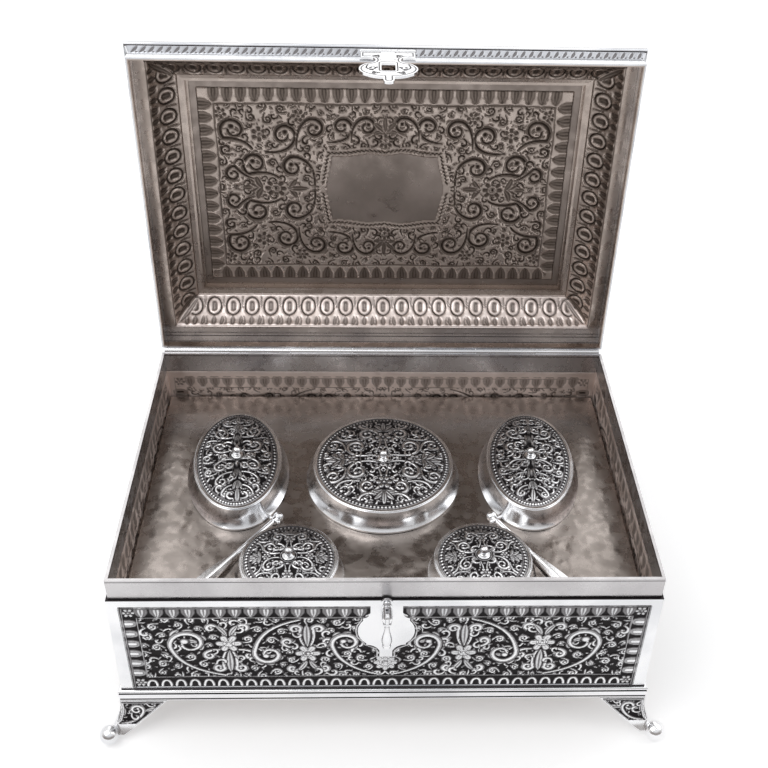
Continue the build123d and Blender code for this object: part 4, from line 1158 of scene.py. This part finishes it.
def ovalScrolls(sheet):
    # half of an oval cover, mirrored across its long axis: a tree with paired scrolls
    for base, centre, size, hand, lobes in (
        ((0.8, -4.5), (9.5, -9.5), 4.2, -1, 4),
        ((0.8, 5.0), (10.0, 8.0), 4.4, 1, 4),
        ((0.6, -15.0), (9.0, -21.5), 3.9, -1, 3),
        ((0.6, 16.0), (9.5, 21.0), 4.0, 1, 3),
        ((13.5, -4.5), (17.8, -0.5), 3.2, 1, 3),
        ((0.5, -25.0), (6.4, -30.5), 2.7, -1, 2),
        ((0.5, 27.0), (6.6, 31.0), 2.8, 1, 2),
        ((12.0, -14.5), (16.6, -12.5), 2.6, 1, 2),
        ((12.0, 14.0), (16.8, 12.5), 2.6, -1, 2),
    ):
        tendril(sheet, base, centre, size, hand, 0.3, 1.2, 0.75, lobes)
    leaf(sheet, (0, -27.0), -math.pi / 2, 9.5, 1.5)
    leaf(sheet, (0, 27.5), math.pi / 2, 9.5, 1.5)
    for y in (-22, -13, 12, 21):
        side = 1 if y > 0 else -1
        leaf(sheet, (0.0, y), side * math.pi / 2, 6.0, 1.2)
        leaf(sheet, (0.6, y), side * 1.1, 6.5, 0.9, side * 0.4)


def chasedCover(name):
    look = coverLook
    halfX, halfY, cx, cy, turn = potPlan[name]
    narrow = min(halfX, halfY)
    rim = -look["ringBead"] - 0.05
    around = round(math.pi * (halfX + halfY) / look["step"] / 4) * 4
    mesh, u, v = gridPoints(around, round(narrow / look["step"]))
    angle = u * fullTurn
    flat = look["flatShare"]
    outset = np.where(v > flat, rim - (1 - v) / (1 - flat) * (narrow * 0.84 + rim), -narrow * 0.84)
    shrink = np.where(v > flat, 1.0, v / flat)
    x = (halfX + outset) * np.cos(angle) * shrink
    y = (halfY + outset) * np.sin(angle) * shrink
    wx, wy = handWobble(x, y, 0.3)
    isRound = halfX == halfY
    sheet = Chasing(np.abs(wx), np.abs(wy) if isRound else wy)
    if isRound:
        roundScrolls(sheet, halfX)
    else:
        ovalScrolls(sheet)
    edge = look["edge"]

    def bare(px, py):
        inEdge = (px / (halfX - edge)) ** 2 + (py / (halfY - edge)) ** 2 < 1
        return inEdge & (px > 0) & (np.hypot(px, py) > edge) & ((py > 0) | (not isRound))

    placed = fillGround(sheet, bare, 0.6, 2.4, 1.0)
    out = (sheet.x / (halfX - edge + 0.4)) ** 2 + (sheet.y / (halfY - edge + 0.4)) ** 2 > 1
    sheet.h[out] = 0
    plain = Chasing(x, y)
    plain.h = sheet.h
    beads = round(math.pi * (halfX + halfY - 5) / look["beadPitch"])
    for spot in ring((0, 0), halfX - look["beadInset"], halfY - look["beadInset"], beads)[:-1]:
        plain.ball(*spot, look["bead"])
    for inset in look["lineInsets"]:
        plain.stroke(ring((0, 0), halfX - inset, halfY - inset, 72), [0.3] * 73, 0.75, edge=0.3)
    plain.stroke(ring((0, 0), look["collar"], look["collar"], 24), [0.45] * 25, 0.8)
    relief = plain.h
    lift = look["floor"] + relief * look["relief"]
    lift[v > 0.999] = -0.1
    height = look["trayTop"] + look["ringHeight"] + domeHeight(outset, narrow) + lift
    c, s = math.cos(math.radians(turn)), math.sin(math.radians(turn))
    points = np.stack([cx + x * c - y * s, cy + x * s + y * c, height], 1)
    title = "coverChasing" + name.replace("_", " ").title().replace(" ", "")
    raiseSheet(title, mesh, points, relief, f"cover_{name}", "chased", (0, 0, 1), 0.01)
    return placed


print("covers chased, with", [chasedCover(name) for name in potPlan], "sprigs")


# Studio
studioLook = {
    "floorColour": (0.93, 0.93, 0.935),
    "floorLift": 0.30,
    "floorSize": 9000.0,
    "skyLevel": 0.50,
    "key": {"place": (-750, -350, 1350), "size": 1300, "power": 9.5},
    "fill": {"place": (1000, 100, 1050), "size": 1100, "power": 4.0},
    "rear": {"place": (0, 1100, 1000), "size": 1200, "power": 3.5},
}
cameraLook = {
    "place": (-11.607, -448.437, 528.435),
    "yaw": 0.043,
    "pitch": 0.649,
    "roll": 0.030,
    "lens": 1064.168 / 768 * 36,
    "shift": (-17.495 / 768, -26.693 / 768),
}


def placeCamera():
    look = cameraLook
    yaw, pitch, roll = look["yaw"], look["pitch"], look["roll"]
    ahead = Vector((math.sin(yaw) * math.cos(pitch), math.cos(yaw) * math.cos(pitch), -math.sin(pitch)))
    right = Vector((math.cos(yaw), -math.sin(yaw), 0))
    up = right.cross(ahead)
    across = math.cos(roll) * right + math.sin(roll) * up
    above = -math.sin(roll) * right + math.cos(roll) * up
    data = bpy.data.cameras.new("camera")
    data.lens, data.sensor_width = look["lens"], 36
    data.shift_x, data.shift_y = look["shift"]
    data.clip_start, data.clip_end = 0.01, 20
    camera = bpy.data.objects.new("camera", data)
    turn = Matrix((across, above, -ahead)).transposed().to_4x4()
    camera.matrix_world = Matrix.Translation(Vector(look["place"]) * mm) @ turn
    bpy.context.scene.collection.objects.link(camera)
    bpy.context.scene.camera = camera


def placeLights():
    for name in ("key", "fill", "rear"):
        look = studioLook[name]
        data = bpy.data.lights.new(name, "AREA")
        data.shape, data.size, data.energy = "SQUARE", look["size"] * mm, look["power"]
        lamp = bpy.data.objects.new(name, data)
        lamp.location = Vector(look["place"]) * mm
        aim = Vector((0, 0, 0.1)) - lamp.location
        lamp.rotation_euler = aim.to_track_quat("-Z", "Y").to_euler()
        bpy.context.scene.collection.objects.link(lamp)


def makeWorld():
    world = bpy.data.worlds.new("studioWorld")
    bpy.context.scene.world = world
    f = Finish(world)
    towards = f.node("ShaderNodeTexCoord", out=0)
    parts = f.tree.nodes.new("ShaderNodeSeparateXYZ")
    f.tree.links.new(towards.socket, parts.inputs[0])
    y, z = Wire(f, parts.outputs[1]), Wire(f, parts.outputs[2])
    behind = f.between(y, -0.75, 0.15)  # the room is dim on the camera's side and white behind
    high = f.between(z, 0.25, 0.75)
    room = f.blend(high, (0.30, 0.275, 0.26), (0.92, 0.93, 0.95))
    seen = f.blend(behind, room, (1.0, 1.0, 1.0))
    colour = f.blend(f.seen(), (studioLook["skyLevel"],) * 3, seen)
    sky = f.node("ShaderNodeBackground", {}, {"Color": colour, "Strength": 1.0})
    f.finishAs("ShaderNodeOutputWorld", sky)


def makeFloor():
    bm = bmesh.new()
    bmesh.ops.create_grid(bm, x_segments=2, y_segments=2, size=studioLook["floorSize"] * mm / 2)
    mesh = bpy.data.meshes.new("floor")
    bm.to_mesh(mesh)
    bm.free()
    material = bpy.data.materials.new("floorPaper")
    f = Finish(material)
    paper = f.node("ShaderNodeBsdfDiffuse", {}, {"Color": studioLook["floorColour"]})
    glow = f.node("ShaderNodeEmission", {}, {"Strength": studioLook["floorLift"]})
    white = f.node("ShaderNodeAddShader", {}, {0: paper, 1: glow})  # where it is seen; the shadow stays
    surface = f.node("ShaderNodeMixShader", {}, {0: f.seen(), 1: paper, 2: white})
    f.finishAs("ShaderNodeOutputMaterial", surface)
    mesh.materials.append(material)
    floor = bpy.data.objects.new("floor", mesh)
    bpy.context.scene.collection.objects.link(floor)


placeCamera()
placeLights()
makeWorld()
makeFloor()
bpy.context.scene.view_settings.view_transform = "Standard"
print("studio lit")

meshes = [thing.data for thing in bpy.data.objects if thing.type == "MESH"]
print("triangles:", sum(len(mesh.loops) - 2 * len(mesh.polygons) for mesh in meshes))
